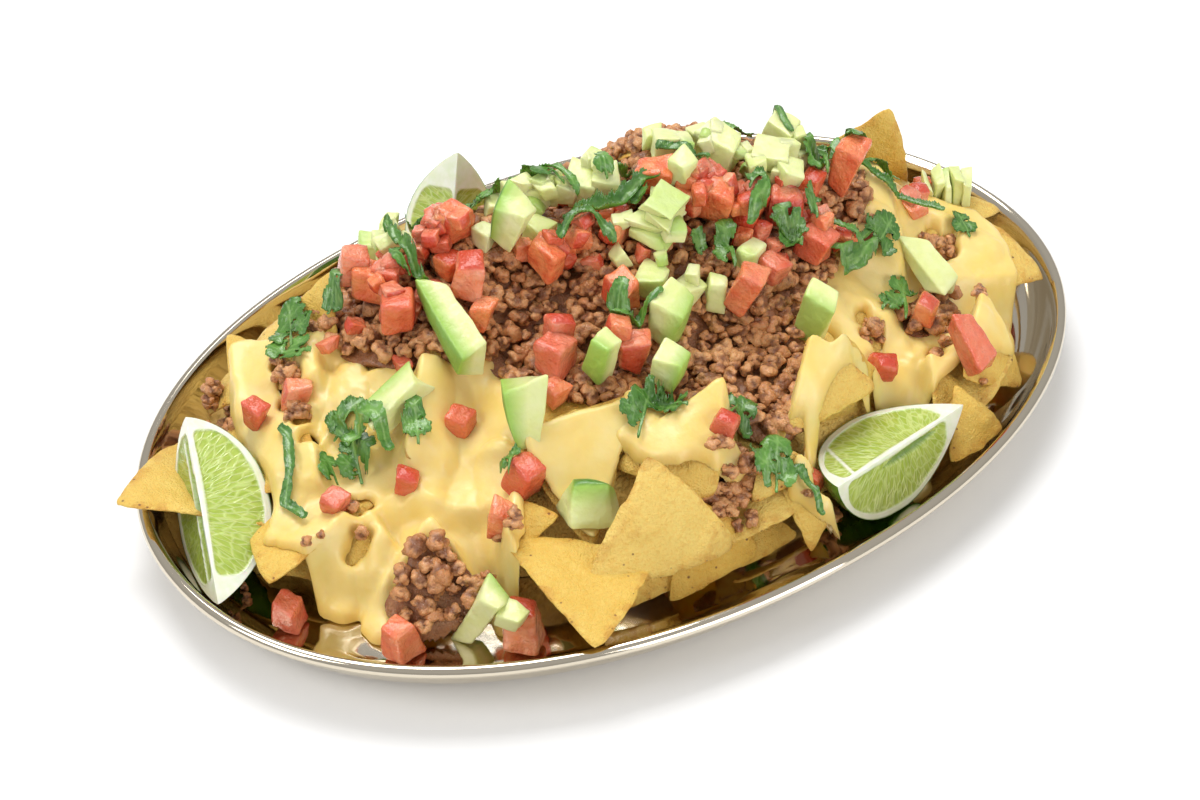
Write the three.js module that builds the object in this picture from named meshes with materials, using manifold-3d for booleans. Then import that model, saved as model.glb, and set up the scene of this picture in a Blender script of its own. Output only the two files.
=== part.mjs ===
// Loaded nachos heaped on an oval metal platter, in millimetres, +Z up.
// The origin is on the table under the middle of the platter, whose long axis is X.
import * as THREE from "three";
import { mergeVertices } from "three/addons/utils/BufferGeometryUtils.js";
import Module from "manifold-3d";

const wasm = await Module();
wasm.setup();

// ---- driving dimensions ----
const PLATTER_LENGTH = 350; // a 14-inch oval platter, over the rolled rim
const PLATTER_WIDTH = 241;
const PLATTER_HEIGHT = 22;
const OVAL_POWER = 2.1; // a touch squarer than an ellipse
const SHEET = 1.5; // floor and wall
const BEAD_RADIUS = 2;
const WALL_RUN = 24; // how far the flat floor stays inside the rim
const GAP = 0.35; // air between pieces that touch

const CHIP_THICKNESS = 1.8;
const CHIP_SIDE = 57;
const BEEF_DEPTH = 7;
const LAYER_ROOT = 2; // how far beef and cheese reach down between the chips
const LIME_STEPS = 9;
const LEAF_THICKNESS = 0.9;

const CHIP_YELLOW = 0xe6bd55;
const BEEF_BROWN = 0x7d4a2f;
const CHEESE_YELLOW = 0xf3c968;
const TOMATO_RED = 0xcf4230;
const AVOCADO_GREEN = 0xcfd98a;
const LIME_GREEN = 0xa9c85a;
const LEAF_GREEN = 0x3f8a3c;
const STEEL_GREY = 0xd6d6d4;

// The heap of chips before anything lies on it: soft domes, given by middle, half lengths and height.
const DOMES = [
  { x: 0, y: 6, halfLength: 150, halfWidth: 97, height: 42, power: 3.0, shoulder: 0.62 },
  { x: 34, y: 26, halfLength: 104, halfWidth: 62, height: 27, power: 2.0, shoulder: 1.1 },
  { x: -66, y: 42, halfLength: 62, halfWidth: 50, height: 17, power: 2.0, shoulder: 1.1 },
  { x: 116, y: -8, halfLength: 38, halfWidth: 46, height: 13, power: 2.0, shoulder: 1.1 },
];
const DOME_SQUARENESS = 2.2;

// ---- small helpers ----
const degrees = THREE.MathUtils.degToRad;
const vector = (values) => new THREE.Vector3(...values);
const UP = vector([0, 0, 1]);

function chance(seed) {
  const value = Math.sin(seed * 12.9898) * 43758.5453;
  return value - Math.floor(value);
}

const spread = (seed, reach) => (chance(seed) * 2 - 1) * reach;

// A closed geometry as a solid that can be joined and cut.
function solid(geometry) {
  const bare = geometry.clone();
  for (const name of Object.keys(bare.attributes)) {
    if (name !== "position") bare.deleteAttribute(name);
  }
  const merged = mergeVertices(bare, 1e-3);
  return new wasm.Manifold(
    new wasm.Mesh({
      numProp: 3,
      vertProperties: merged.attributes.position.array,
      triVerts: new Uint32Array(merged.index.array),
    }),
  );
}

function geometryOf(body) {
  const { numProp, numVert, vertProperties, triVerts } = body.getMesh();
  const points = new Float32Array(numVert * 3);
  for (let i = 0; i < numVert; i += 1) {
    points.set(vertProperties.subarray(i * numProp, i * numProp + 3), i * 3);
  }
  const geometry = new THREE.BufferGeometry();
  geometry.setAttribute("position", new THREE.BufferAttribute(points, 3));
  geometry.setIndex(new THREE.BufferAttribute(triVerts, 1));
  geometry.computeVertexNormals();
  return geometry;
}

const joined = (bodies) => bodies.reduce((whole, body) => whole.add(body));
const cutBy = (body, cutters) => cutters.reduce((rest, cutter) => rest.subtract(cutter), body);
const touches = (a, b) => a.intersect(b).volume() > 0.01;

// Scraps that a cut leaves loose are dropped.
function largestBody(body) {
  return body.decompose().reduce((best, next) => (next.volume() > best.volume() ? next : best));
}

// ---- the heap's surface ----
function domeHeight(dome, x, y) {
  const across = Math.abs((x - dome.x) / dome.halfLength) ** DOME_SQUARENESS;
  const along = Math.abs((y - dome.y) / dome.halfWidth) ** DOME_SQUARENESS;
  const reach = (across + along) ** (1 / DOME_SQUARENESS);
  return dome.height * Math.max(1 - reach ** dome.power, 0) ** dome.shoulder;
}

function heapHeight(x, y) {
  const height = DOMES.reduce((sum, dome) => sum + domeHeight(dome, x, y), 0);
  const lumps = 2.2 * Math.sin(x / 13 + 1.3) * Math.cos(y / 11 - 0.4);
  return SHEET + height + lumps * Math.min(height / 25, 1);
}

function heapNormal(x, y) {
  const step = 3;
  const slopeX = (heapHeight(x + step, y) - heapHeight(x - step, y)) / (2 * step);
  const slopeY = (heapHeight(x, y + step) - heapHeight(x, y - step)) / (2 * step);
  return vector([-slopeX, -slopeY, 1]).normalize();
}

// A closed form swept round an upright axis from rings of [radius, level], placed point by point.
function moulded(rings, spokes, place) {
  const profile = rings.map(([radius, level]) => new THREE.Vector2(radius, level));
  const geometry = new THREE.LatheGeometry(profile, spokes).rotateX(Math.PI / 2);
  const points = geometry.attributes.position;
  for (let i = 0; i < points.count; i += 1) {
    const x = points.getX(i);
    const y = points.getY(i);
    const placed = place(Math.hypot(x, y), Math.atan2(y, x), points.getZ(i));
    points.setXYZ(i, ...placed);
  }
  return solid(geometry);
}

// ---- platter ----
const floorHalfLength = PLATTER_LENGTH / 2 - WALL_RUN;
const floorHalfWidth = PLATTER_WIDTH / 2 - WALL_RUN;
const signedPower = (value, power) => Math.sign(value) * Math.abs(value) ** power;

// The wall's line from the floor's edge up to the bead, as [inset from the rim, height].
function wallLine(steps, lift) {
  const beadFoot = PLATTER_HEIGHT - 1.5 * BEAD_RADIUS;
  const curve = new THREE.QuadraticBezierCurve(
    new THREE.Vector2(WALL_RUN, 0),
    new THREE.Vector2(WALL_RUN * 0.4, 0),
    new THREE.Vector2(BEAD_RADIUS * 1.6, beadFoot),
  );
  return curve.getPoints(steps).map((point, i) => {
    const slope = curve.getTangent(i / steps);
    return [point.x - slope.y * -lift, point.y - slope.x * lift];
  });
}

// The platter, with every face moved outward by the given growth.
function platterSolid(growth) {
  const bead = [];
  for (let turn = -100; turn <= 140; turn += 40) {
    const angle = degrees(turn);
    const radius = BEAD_RADIUS + growth;
    bead.push([
      BEAD_RADIUS - radius * Math.cos(angle),
      PLATTER_HEIGHT - BEAD_RADIUS + radius * Math.sin(angle),
    ]);
  }
  const outside = wallLine(3, -growth);
  const inside = wallLine(4, SHEET + growth).slice(0, -1).reverse();
  const middle = PLATTER_WIDTH / 2;
  const profile = [[middle, -growth], ...outside, ...bead, ...inside, [middle, SHEET + growth]];
  const rings = profile.map(([inset, height]) => [middle - inset, height]);
  return moulded(rings, 52, (radius, angle, height) => {
    const onFloor = radius < floorHalfWidth;
    const stretch = PLATTER_LENGTH / 2 - PLATTER_WIDTH / 2;
    const halfLength = onFloor ? (radius * floorHalfLength) / floorHalfWidth : radius + stretch;
    return [
      halfLength * signedPower(Math.cos(angle), 2 / OVAL_POWER),
      radius * signedPower(Math.sin(angle), 2 / OVAL_POWER),
      height,
    ];
  });
}

// ---- chips ----
// A sheet of even thickness: the same triangles on both faces, and a rim between them.
function sheetSolid(points, normals, thickness, triangles, rim) {
  const count = points.length;
  const faces = [
    ...points.map((point, i) => point.clone().addScaledVector(normals[i], thickness / 2)),
    ...points.map((point, i) => point.clone().addScaledVector(normals[i], -thickness / 2)),
  ];
  const index = [];
  for (const [a, b, c] of triangles) {
    index.push(a, b, c, a + count, c + count, b + count);
  }
  rim.forEach((a, i) => {
    const b = rim[(i + 1) % rim.length];
    index.push(a, a + count, b, b, a + count, b + count);
  });
  const geometry = new THREE.BufferGeometry().setFromPoints(faces);
  geometry.setIndex(index);
  return solid(geometry);
}

// The chip's grid: weights of the three corners, triangles, and the rim in order.
function chipGrid(rows) {
  const weights = [];
  const place = (row, column) => (row * (row + 1)) / 2 + column;
  for (let row = 0; row <= rows; row += 1) {
    for (let column = 0; column <= row; column += 1) {
      weights.push([rows - row, row - column, column].map((part) => part / rows));
    }
  }
  const triangles = [];
  for (let row = 0; row < rows; row += 1) {
    for (let column = 0; column <= row; column += 1) {
      triangles.push([place(row, column), place(row + 1, column), place(row + 1, column + 1)]);
      if (column < row) {
        triangles.push([place(row, column), place(row + 1, column + 1), place(row, column + 1)]);
      }
    }
  }
  const rim = [];
  for (let step = 0; step < rows; step += 1) rim.push(place(step, 0));
  for (let step = 0; step < rows; step += 1) rim.push(place(rows, step));
  for (let step = rows; step > 0; step -= 1) rim.push(place(step, step));
  return { weights, triangles, rim };
}

const fineGrid = chipGrid(3); // for chips that stand out
const plainGrid = chipGrid(2); // for the courses round the back

// A curled chip between three corners; a positive bow lifts its middle on the side of its normal.
function chipSolid(chip, growth) {
  const grid = chip.plain ? plainGrid : fineGrid;
  const corners = chip.corners.map(vector);
  const middle = corners[0].clone().add(corners[1]).add(corners[2]).divideScalar(3);
  const edge = corners[1].clone().sub(corners[0]);
  const normal = edge.cross(corners[2].clone().sub(corners[0])).normalize();
  const reach = Math.max(...corners.map((corner) => corner.distanceTo(middle)));
  const points = grid.weights.map((weight, i) => {
    const point = new THREE.Vector3();
    corners.forEach((corner, side) => point.addScaledVector(corner, weight[side]));
    const arm = point.clone().sub(middle);
    const corner = Math.max(...weight);
    const rounding = corner === 1 ? 0.93 : 1 + 0.12 * (1 - corner);
    const ragged = 1 + spread(i + chip.corners[0][0], 0.02);
    point.copy(middle).addScaledVector(arm, rounding * ragged * (1 + growth / reach));
    return point.addScaledVector(normal, chip.bow * (1 - (arm.length() / reach) ** 2));
  });
  const normals = points.map(() => normal);
  return sheetSolid(points, normals, CHIP_THICKNESS + 2 * growth, grid.triangles, grid.rim);
}

// Chips that stand out along the front and the ends, by their corners.
const PLACED_CHIPS = [
  { corners: [[-178, 34, 28], [-132, 0, 17], [-130, 66, 14]], bow: 4, proud: true }, // over the left rim
  { corners: [[-94, -107, 25], [-56, -87, 25], [-90, -49, 28]], bow: 3 }, // over the front rim
  { corners: [[-46, -68, 52], [-82, -82, 24], [-28, -94, 20]], bow: 6 }, // big one in front
  { corners: [[-68, -72, 25], [-28, -44, 51], [-70, -34, 50]], bow: -7 }, // the scoop behind it
  { corners: [[-26, -80, 28], [-4, -58, 54], [-46, -52, 34]], bow: 3, proud: true },
  { corners: [[-32, -87, 15], [-1, -94, 21], [-8, -66, 24]], bow: 2 },
  { corners: [[8, -73, 33], [46, -77, 36], [28, -60, 57]], bow: 2, proud: true },
  { corners: [[-16, -84, 24], [8, -88, 28], [-2, -76, 42]], bow: 2, plain: true },
  { corners: [[104, -44, 24], [152, -55, 19], [144, -22, 33]], bow: 4, proud: true }, // on the right wall
  { corners: [[104, -24, 34], [156, -28, 32], [138, 4, 36]], bow: 3, proud: true },
  { corners: [[79, -82, 26], [108, -86, 11], [110, -58, 38]], bow: 3, proud: true },
  { corners: [[62, -97, 8], [88, -97, 10], [76, -82, 26]], bow: 2, proud: true, plain: true },
  { corners: [[96, 30, 42], [141, 6, 26], [130, 10, 72]], bow: 3 }, // standing at the back right
  { corners: [[60, 66, 38], [14, 62, 42], [36, 50, 70]], bow: 3, proud: true }, // behind the top
  { corners: [[-98, 66, 38], [-92, 36, 40], [-78, 52, 68]], bow: 3 },
  { corners: [[-128, 40, 30], [-100, 46, 30], [-110, 78, 40]], bow: 2, proud: true },
  { corners: [[-145, -2, 9], [-112, -40, 8], [-112, -8, 27]], bow: 3, proud: true, plain: true }, // foot
  { corners: [[-125, -35, 9], [-98, -52, 8], [-100, -30, 27]], bow: 2, proud: true, plain: true },
  { corners: [[-4, -101, 9], [17, -98, 26], [-4, -84, 27]], bow: 2, plain: true },
  { corners: [[-88, -60, 26], [-72, -60, 34], [-80, -44, 34]], bow: 2, plain: true }, // a broken piece
  { corners: [[20, -66, 14], [64, -68, 14], [36, -67, 60]], bow: 1, proud: true, plain: true },
  { corners: [[70, -95, 13], [110, -80, 21], [84, -54, 20]], bow: 1, proud: true, plain: true },
];

// Round the back and the right end the chips lie like scales, in two courses.
const CHIP_COURSES = [
  { count: 10, from: -4, to: 184, reach: 0.86, lean: 34, seed: 11 },
  { count: 2, from: 30, to: 84, reach: 0.74, lean: 22, seed: 41 },
];

function chipInCourse(course, i) {
  const seed = course.seed + i * 3;
  const turn = degrees(course.from + ((course.to - course.from) * i) / (course.count - 1));
  const base = DOMES[0];
  const x = base.x + base.halfLength * course.reach * Math.cos(turn);
  const y = base.y + base.halfWidth * course.reach * Math.sin(turn);
  const outward = vector([Math.cos(turn), Math.sin(turn), 0]);
  const facing = heapNormal(x, y).lerp(outward, -Math.sin(degrees(course.lean))).normalize();
  facing.addScaledVector(vector([spread(seed, 0.3), spread(seed + 1, 0.3), 0]), 1).normalize();
  const side = new THREE.Vector3().crossVectors(UP, outward).projectOnPlane(facing).normalize();
  const rise = new THREE.Vector3().crossVectors(facing, side);
  const spin = spread(seed + 2, 0.5) + (i % 2 ? Math.PI : 0);
  const middle = vector([x, y, heapHeight(x, y) - 3]);
  const corners = [0, 1, 2].map((corner) => {
    const angle = spin + (corner * 2 * Math.PI) / 3;
    const arm = (CHIP_SIDE / Math.sqrt(3)) * (1 + spread(seed + corner, 0.08));
    return middle
      .clone()
      .addScaledVector(side, arm * Math.cos(angle))
      .addScaledVector(rise, arm * Math.sin(angle))
      .toArray();
  });
  return { corners, bow: 4 + spread(seed + 5, 3), plain: true };
}

const courseChips = CHIP_COURSES.flatMap((course) =>
  Array.from({ length: course.count }, (_, i) => chipInCourse(course, i)),
);
const chips = [...PLACED_CHIPS, ...courseChips];

// ---- the core of the heap ----
const CORE_RINGS = [0.97, 0.91, 0.82, 0.69, 0.54, 0.38, 0.2];
const HOLLOW = { from: 182, full: 206, until: 264, to: 286, depth: 0.18 }; // angles, share of the reach

// The foot draws back under the chips along the front left.
function coreReach(angle) {
  const turn = (THREE.MathUtils.radToDeg(angle) + 360) % 360;
  const near = THREE.MathUtils.smoothstep(turn, HOLLOW.from, HOLLOW.full);
  const far = 1 - THREE.MathUtils.smoothstep(turn, HOLLOW.until, HOLLOW.to);
  return 1 - HOLLOW.depth * near * far;
}

function coreSolid() {
  const base = DOMES[0];
  const foot = SHEET + GAP;
  const rings = [[0, 0], [1, 0], ...CORE_RINGS.map((radius) => [radius, 1]), [0, 1]];
  return moulded(rings, 34, (radius, angle, level) => {
    const power = 2 / DOME_SQUARENESS;
    const reach = radius * coreReach(angle);
    const x = base.x + base.halfLength * reach * signedPower(Math.cos(angle), power);
    const y = base.y + base.halfWidth * reach * signedPower(Math.sin(angle), power);
    return [x, y, level > 0.5 ? Math.max(heapHeight(x, y), foot + 1) : foot];
  });
}

// ---- layers: beef and cheese ----
const BEEF_OUTLINE = [
  [-84, 22], [-70, 8], [-56, 2], [-54, -15], [-47, -29], [-32, -40], [-20, -45], [-5, -54], [2, -67],
  [16, -71], [34, -62], [40, -46], [50, -32], [68, -28], [92, -22], [104, 0], [102, 26], [84, 50],
  [50, 66], [12, 72], [-34, 74], [-72, 70], [-92, 48],
];
const CHEESES = [
  {
    name: "cheese_left",
    middle: [-96, 4],
    depth: 4.5,
    outline: [
      [-110, 70], [-98, 54], [-88, 38], [-85, 22], [-71, 8], [-56, 1], [-42, -5], [-46, -14],
      [-60, -15], [-70, -28], [-79, -43], [-90, -60], [-98, -64], [-100, -48], [-105, -38],
      [-116, -38], [-126, -46], [-133, -40], [-131, -29], [-138, -25], [-138, -14], [-144, -5],
      [-141, 10], [-134, 20], [-128, 40], [-122, 58],
    ],
  },
  {
    name: "cheese_centre",
    middle: [-20, -60],
    depth: 3,
    outline: [
      [-25, -41], [-9, -47], [3, -56], [-8, -66], [-12, -76], [-23, -77], [-30, -70], [-39, -63],
      [-42, -50],
    ],
  },
  {
    name: "cheese_front_right",
    middle: [28, -69],
    depth: 3,
    outline: [
      [28, -58], [46, -56], [50, -69], [45, -75], [30, -77], [17, -85], [11, -82], [14, -74],
      [5, -70], [13, -63],
    ],
  },
  {
    name: "cheese_right",
    middle: [92, -46],
    depth: 4,
    outline: [
      [108, 8], [128, -6], [139, -22], [144, -38], [133, -58], [118, -74], [105, -80], [88, -76],
      [70, -78], [54, -73], [52, -62], [57, -50], [47, -36], [40, -31], [46, -25], [62, -22],
      [85, -18], [100, -8],
    ],
  },
  {
    name: "cheese_back",
    middle: [14, 80],
    depth: 4,
    outline: [
      [-44, 77], [-20, 73], [12, 71], [44, 67], [62, 65], [70, 73], [54, 82], [42, 95], [29, 90],
      [18, 90], [8, 100], [-3, 91], [-15, 90], [-30, 94], [-40, 86],
    ],
  },
];

// A layer inside an outline: rings from its middle out to a rounded edge. Its foot is let into the heap.
function layerSolid({ outline, middle, footRings, rings, topAt, growth }) {
  const points = outline.map(([x, y]) => new THREE.Vector2(x, y));
  if (!THREE.ShapeUtils.isClockWise(points)) points.reverse();
  const curve = new THREE.CatmullRomCurve3(points.map(({ x, y }) => vector([x, y, 0])), true);
  const below = footRings.map((radius) => [radius, 0]);
  const above = rings.map((radius) => [radius, 1]);
  const profile = [[0, 0], ...below, [1, 0.4], ...above, [0, 1]];
  return moulded(profile, points.length, (radius, angle, level) => {
    const along = (((-angle / (2 * Math.PI)) % 1) + 1) % 1;
    const arm = curve.getPoint(along).sub(vector([...middle, 0]));
    const x = middle[0] + radius * arm.x;
    const y = middle[1] + radius * arm.y;
    const wider = (radius * growth) / arm.length();
    const thicker = 2 * growth; // the layers slope by up to two in one
    const bottom = heapHeight(x, y) - LAYER_ROOT - thicker;
    const z = bottom + level * (topAt(x, y) + thicker - bottom);
    return [x + wider * arm.x, y + wider * arm.y, Math.max(z, SHEET + GAP + level - growth)];
  });
}

function insideOutline(x, y, outline) {
  let inside = false;
  outline.forEach(([ax, ay], i) => {
    const [bx, by] = outline[(i + 1) % outline.length];
    const crosses = ay > y !== by > y;
    if (crosses && x < ((bx - ax) * (y - ay)) / (by - ay) + ax) inside = !inside;
  });
  return inside;
}

// How high the chips reach over a point, for the cheese that runs over them.
const chipCloud = new THREE.Mesh(
  geometryOf(joined(chips.map((chip) => chipSolid(chip, 0)))),
  new THREE.MeshBasicMaterial(),
);
const probe = new THREE.Raycaster();
const SKY = 150;

function chipTop(x, y) {
  probe.set(vector([x, y, SKY]), vector([0, 0, -1]));
  const hit = probe.intersectObject(chipCloud)[0];
  return hit ? SKY - hit.distance : 0;
}

// The bed that cheese runs over: the heap's surface and the chips on it, evened out a little.
function bedHeight(x, y) {
  const offsets = [[0, 0], [4, 0], [-4, 0], [0, 4], [0, -4]];
  const heap = heapHeight(x, y);
  const highest = heap + 12;
  const heights = offsets.map(([dx, dy]) => Math.min(Math.max(chipTop(x + dx, y + dy), heap), highest));
  return heights.reduce((sum, height) => sum + height) / offsets.length;
}

// Crumbles of mince stand out of the layer's top.
function crumbSolid(x, y, z, size, seed) {
  const crumb = new THREE.IcosahedronGeometry(size, 0);
  crumb.scale(1 + spread(seed, 0.25), 1 + spread(seed + 1, 0.25), 0.8);
  crumb.rotateX(chance(seed + 2) * Math.PI);
  crumb.rotateZ(chance(seed + 3) * Math.PI);
  return solid(crumb.translate(x, y, z));
}

const BEEF_CRUMBS = 5;

const beefLayer = (growth) =>
  layerSolid({
    outline: BEEF_OUTLINE,
    middle: [10, 12],
    footRings: [0.4, 0.7, 0.95],
    rings: [0.97, 0.84, 0.64, 0.38],
    topAt: (x, y) => heapHeight(x, y) + BEEF_DEPTH - 1 + spread(x * 3.1 + y, 1.6),
    growth,
  });

const cheeseLayer = (cheese, growth) =>
  layerSolid({
    outline: cheese.outline,
    middle: cheese.middle,
    footRings: [0.6, 0.95],
    rings: [0.94, 0.75, 0.45],
    topAt: (x, y) => bedHeight(x, y) + cheese.depth,
    growth,
  });

function beefCrumbs(growth) {
  const crumbs = [];
  for (let seed = 1; crumbs.length < BEEF_CRUMBS; seed += 1) {
    const x = -92 + 196 * chance(seed * 1.7);
    const y = -70 + 144 * chance(seed * 2.9 + 0.4);
    const inner = [[3, 0], [-3, 0], [0, 3], [0, -3]];
    if (!inner.every(([dx, dy]) => insideOutline(x + dx, y + dy, BEEF_OUTLINE))) continue;
    const size = 3.4 + 1.6 * chance(seed + 0.5) + 1.3 * growth;
    crumbs.push(crumbSolid(x, y, heapHeight(x, y) + BEEF_DEPTH - 1.6, size, seed));
  }
  return crumbs;
}

// Mince that shows between the chips lower down, fused to the heap: middle, count and spread.
const MINCE_PATCHES = [
  { x: -109, y: -42, z: 22, count: 4, reach: 5 },
  { x: -18, y: -76, z: 32, count: 3, reach: 6 },
  { x: -128, y: 56, z: 30, count: 2, reach: 7 },
];

function minceSolids() {
  return MINCE_PATCHES.flatMap((patch, row) =>
    Array.from({ length: patch.count }, (_, i) => {
      const seed = 200 + row * 31 + i * 5;
      const x = patch.x + spread(seed, patch.reach);
      const y = patch.y + spread(seed + 1, patch.reach);
      const z = Math.max(Math.min(heapHeight(x, y) + 2, patch.z), 6);
      return crumbSolid(x, y, z, 3.6 + chance(seed + 2), seed);
    }),
  );
}

// ---- lime wedges ----
// A quarter of a lime between two tips, its round side facing the given way.
// Each end has two powers that say how blunt it is.
const POINTED = [1.8, 0.85];
const BLUNT = [2.5, 0.62];
const LIMES = [
  {
    name: "lime_left",
    from: [-166, -10, 14],
    to: [-145, 40, 45],
    back: [0.56, 0.25, -0.79],
    radius: 23,
    ends: { from: POINTED, to: BLUNT },
  },
  {
    name: "lime_right",
    from: [10, -97, 26.5],
    to: [70.5, -92.5, 26.5],
    back: [-0.04, 0.55, -0.83],
    radius: 24,
    ends: { from: BLUNT, to: POINTED },
  },
  {
    name: "lime_back",
    from: [-32, 61, 25],
    to: [-13, 78, 72],
    back: [0.43, 0.77, -0.47],
    radius: 22.5,
    ends: { from: BLUNT, to: POINTED },
  },
];

function limeSolid(lime, growth) {
  const foot = vector(lime.from);
  const tip = vector(lime.to);
  const axis = tip.clone().sub(foot);
  const length = axis.length() + 2 * growth;
  axis.normalize();
  const profile = [];
  for (let step = 0; step <= LIME_STEPS; step += 1) {
    const level = -Math.cos((step * Math.PI) / LIME_STEPS);
    const [inner, outer] = level < 0 ? lime.ends.from : lime.ends.to;
    const swell = Math.max(1 - Math.abs(level) ** inner, 0) ** outer;
    profile.push(new THREE.Vector2((lime.radius + growth) * swell, (level * length) / 2));
  }
  const whole = solid(new THREE.LatheGeometry(profile, 2 * LIME_STEPS));
  const quarter = new THREE.BoxGeometry(60, 100, 60).translate(30 - growth, 0, 30 - growth);
  const wedge = geometryOf(whole.intersect(solid(quarter)));
  const back = vector(lime.back).projectOnPlane(axis).normalize();
  const side = axis.clone().cross(back);
  const basis = new THREE.Matrix4().makeBasis(
    back.clone().add(side).normalize(),
    axis,
    back.clone().sub(side).normalize(),
  );
  basis.setPosition(foot.add(tip).divideScalar(2));
  return solid(wedge.applyMatrix4(basis));
}

// ---- diced toppings ----
// Each is [x, y, width, depth, height, yaw, tilt, sharpness], the last drawing its foot in to a wedge.
const TOMATOES = [
  [-73, 40, 9.5, 11.5, 11.5, 35, 12, 1],
  [-76, 22, 10.5, 10.5, 10.5, 60, 8, 0.8],
  [-45, 35, 10.5, 9.5, 10.5, 15, 14, 1],
  [-52, 16, 11.5, 9.5, 11.5, 50, 8, 1],
  [-26, 8, 7, 10.5, 10.5, 10, 16, 1],
  [24, 14, 14, 10, 11, -35, 10, 0.9],
  [-12, -14, 8, 10.5, 10.5, 0, 14, 1],
  [-42, -18, 11.5, 9.5, 11.5, 20, 8, 1],
  [-21, -31, 9, 9, 11.5, 55, 12, 0.8],
  [36, -3, 10.5, 11.5, 12, 30, 12, 0.9],
  [58, -13, 9.5, 10.5, 11.5, 65, 10, 1],
  [63, -26, 9, 10.5, 10.5, 20, 14, 0.9],
  [26, -32, 11.5, 9, 15, 35, 24, 0.8],
  [89, -10, 11.5, 9.5, 19, 30, 14, 0.6],
  [87, -78, 10, 18, 9, -5, 30, 0.8],
  [-74, -44, 8.5, 9, 12, 10, 16, 1],
];
const AVOCADOS = [
  [-60, 58, 11.5, 9, 7.5, -40, 12, 1],
  [-67, 9, 9, 33, 9, -6, 24, 0.9],
  [-91, 1, 9.5, 19, 9, -85, 20, 0.9],
  [-33, 19, 10.5, 15, 19.5, 30, 20, 0.6],
  [-14, 36, 14, 8, 8, -40, 10, 1],
  [6, 25, 17, 11, 10, -45, 12, 1],
  [38, 24, 11.5, 9.5, 10.5, 60, 10, 1],
  [52, 14, 10.5, 12.5, 13, 20, 12, 0.9],
  [64, 2, 13, 13, 14, 45, 8, 0.9],
  [80, 12, 10.5, 10.5, 13, 15, 14, 1],
  [14, -2, 15, 11.5, 14, 30, 10, 1],
  [-3, -28, 10.5, 9.5, 16, 20, 16, 0.9],
  [-16, -43, 10.5, 8, 13, 35, 16, 0.9],
  [-34, -30, 9, 9, 17, 15, 16, 0.9],
  [-65, -33, 15, 12, 18, -30, -26, 0.35],
  [45, -46, 9, 10.5, 18, 25, 16, 0.8],
  [140, -12, 17, 10, 9.5, -38, 8, 1],
  [104, -41, 10, 21, 7, -4, 26, 0.95],
];
// Dice smaller than a berry are one with the beef they are pressed into.
const SMALL_DICE = [
  [-2, 8, 9, 8, 9, 70, 8, 1],
  [-30, -8, 8, 9, 9, 40, 10, 1],
  [0, -13, 9, 8, 9, 10, 14, 1],
  [12, -17, 8, 8, 10, 40, 12, 1],
  [-68, 52, 7, 8, 8, 20, 10, 1],
  [46, 2, 8, 8, 9, 30, 6, 1],
];
// What fell on the metal beside the heap; its foot is on the floor.
const FALLEN_TOMATOES = [
  [-148, -20, 7.5, 7.5, 9, 30, 0, 1],
  [-127, -52, 8, 7.5, 12, 15, 0, 1.3],
  [-96, -72, 8, 8, 16, 40, 0, 1.35],
];
const FALLEN_AVOCADOS = [[-105, -64, 8.5, 8, 22, 25, 26, 0.9]];

// A knife-cut block with soft corners, slightly uneven faces and its foot drawn in by the sharpness.
function blockSolid(block, centre, seed, growth, pieces = growth > 0 ? 1 : 2) {
  const [, , width, depth, height, yaw, tilt, sharpness] = block;
  const geometry = new THREE.BoxGeometry(1, 1, 1, pieces, pieces, pieces);
  const points = geometry.attributes.position;
  for (let i = 0; i < points.count; i += 1) {
    const point = new THREE.Vector3().fromBufferAttribute(points, i);
    const parts = point.toArray();
    const outer = parts.filter((part) => Math.abs(part) > 0.4).length;
    const key = seed + parts[0] * 3.1 + parts[1] * 5.3 + parts[2] * 7.7;
    const soft = pieces === 1 ? 1.03 : [1.06, 1.02, 0.98, 0.93][outer] * (1 + spread(key, 0.04));
    const taper = 1 + (sharpness - 1) * (0.5 - parts[2]);
    point.multiply(vector([soft * taper, soft * taper, soft]));
    point.multiply(vector([width + 2 * growth, depth + 2 * growth, height + 2 * growth]));
    points.setXYZ(i, ...point.toArray());
  }
  geometry.rotateX(degrees(tilt));
  geometry.rotateZ(degrees(yaw));
  return solid(geometry.translate(...centre));
}

function layerTop(x, y) {
  const bed = heapHeight(x, y);
  if (insideOutline(x, y, BEEF_OUTLINE)) return bed + BEEF_DEPTH;
  const cheese = CHEESES.find(({ outline }) => insideOutline(x, y, outline));
  return cheese ? bedHeight(x, y) + cheese.depth : Math.max(bed, chipTop(x, y));
}

// ---- coriander ----
const LEAF_POINTS = 15;
// Each is [x, y, length, width, yaw, slope along it, slope across it].
const LEAVES = [
  [-36, 58, 28, 17, 30, 0, 10],
  [-6, 46, 22, 13, 70, 10, 0],
  [70, 26, 18, 12, 140, 0, 10],
  [54, -20, 15, 13, 100, 14, 0],
  [87, -46, 24, 13, 110, 20, 10],
  [115, 0, 26, 12, 150, -10, 10],
  [-104, 48, 22, 14, 120, 16, 0],
  [-107, 0, 24, 18, 60, 20, 6],
  [-31, -56, 17, 12, 150, 16, 0],
];

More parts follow.
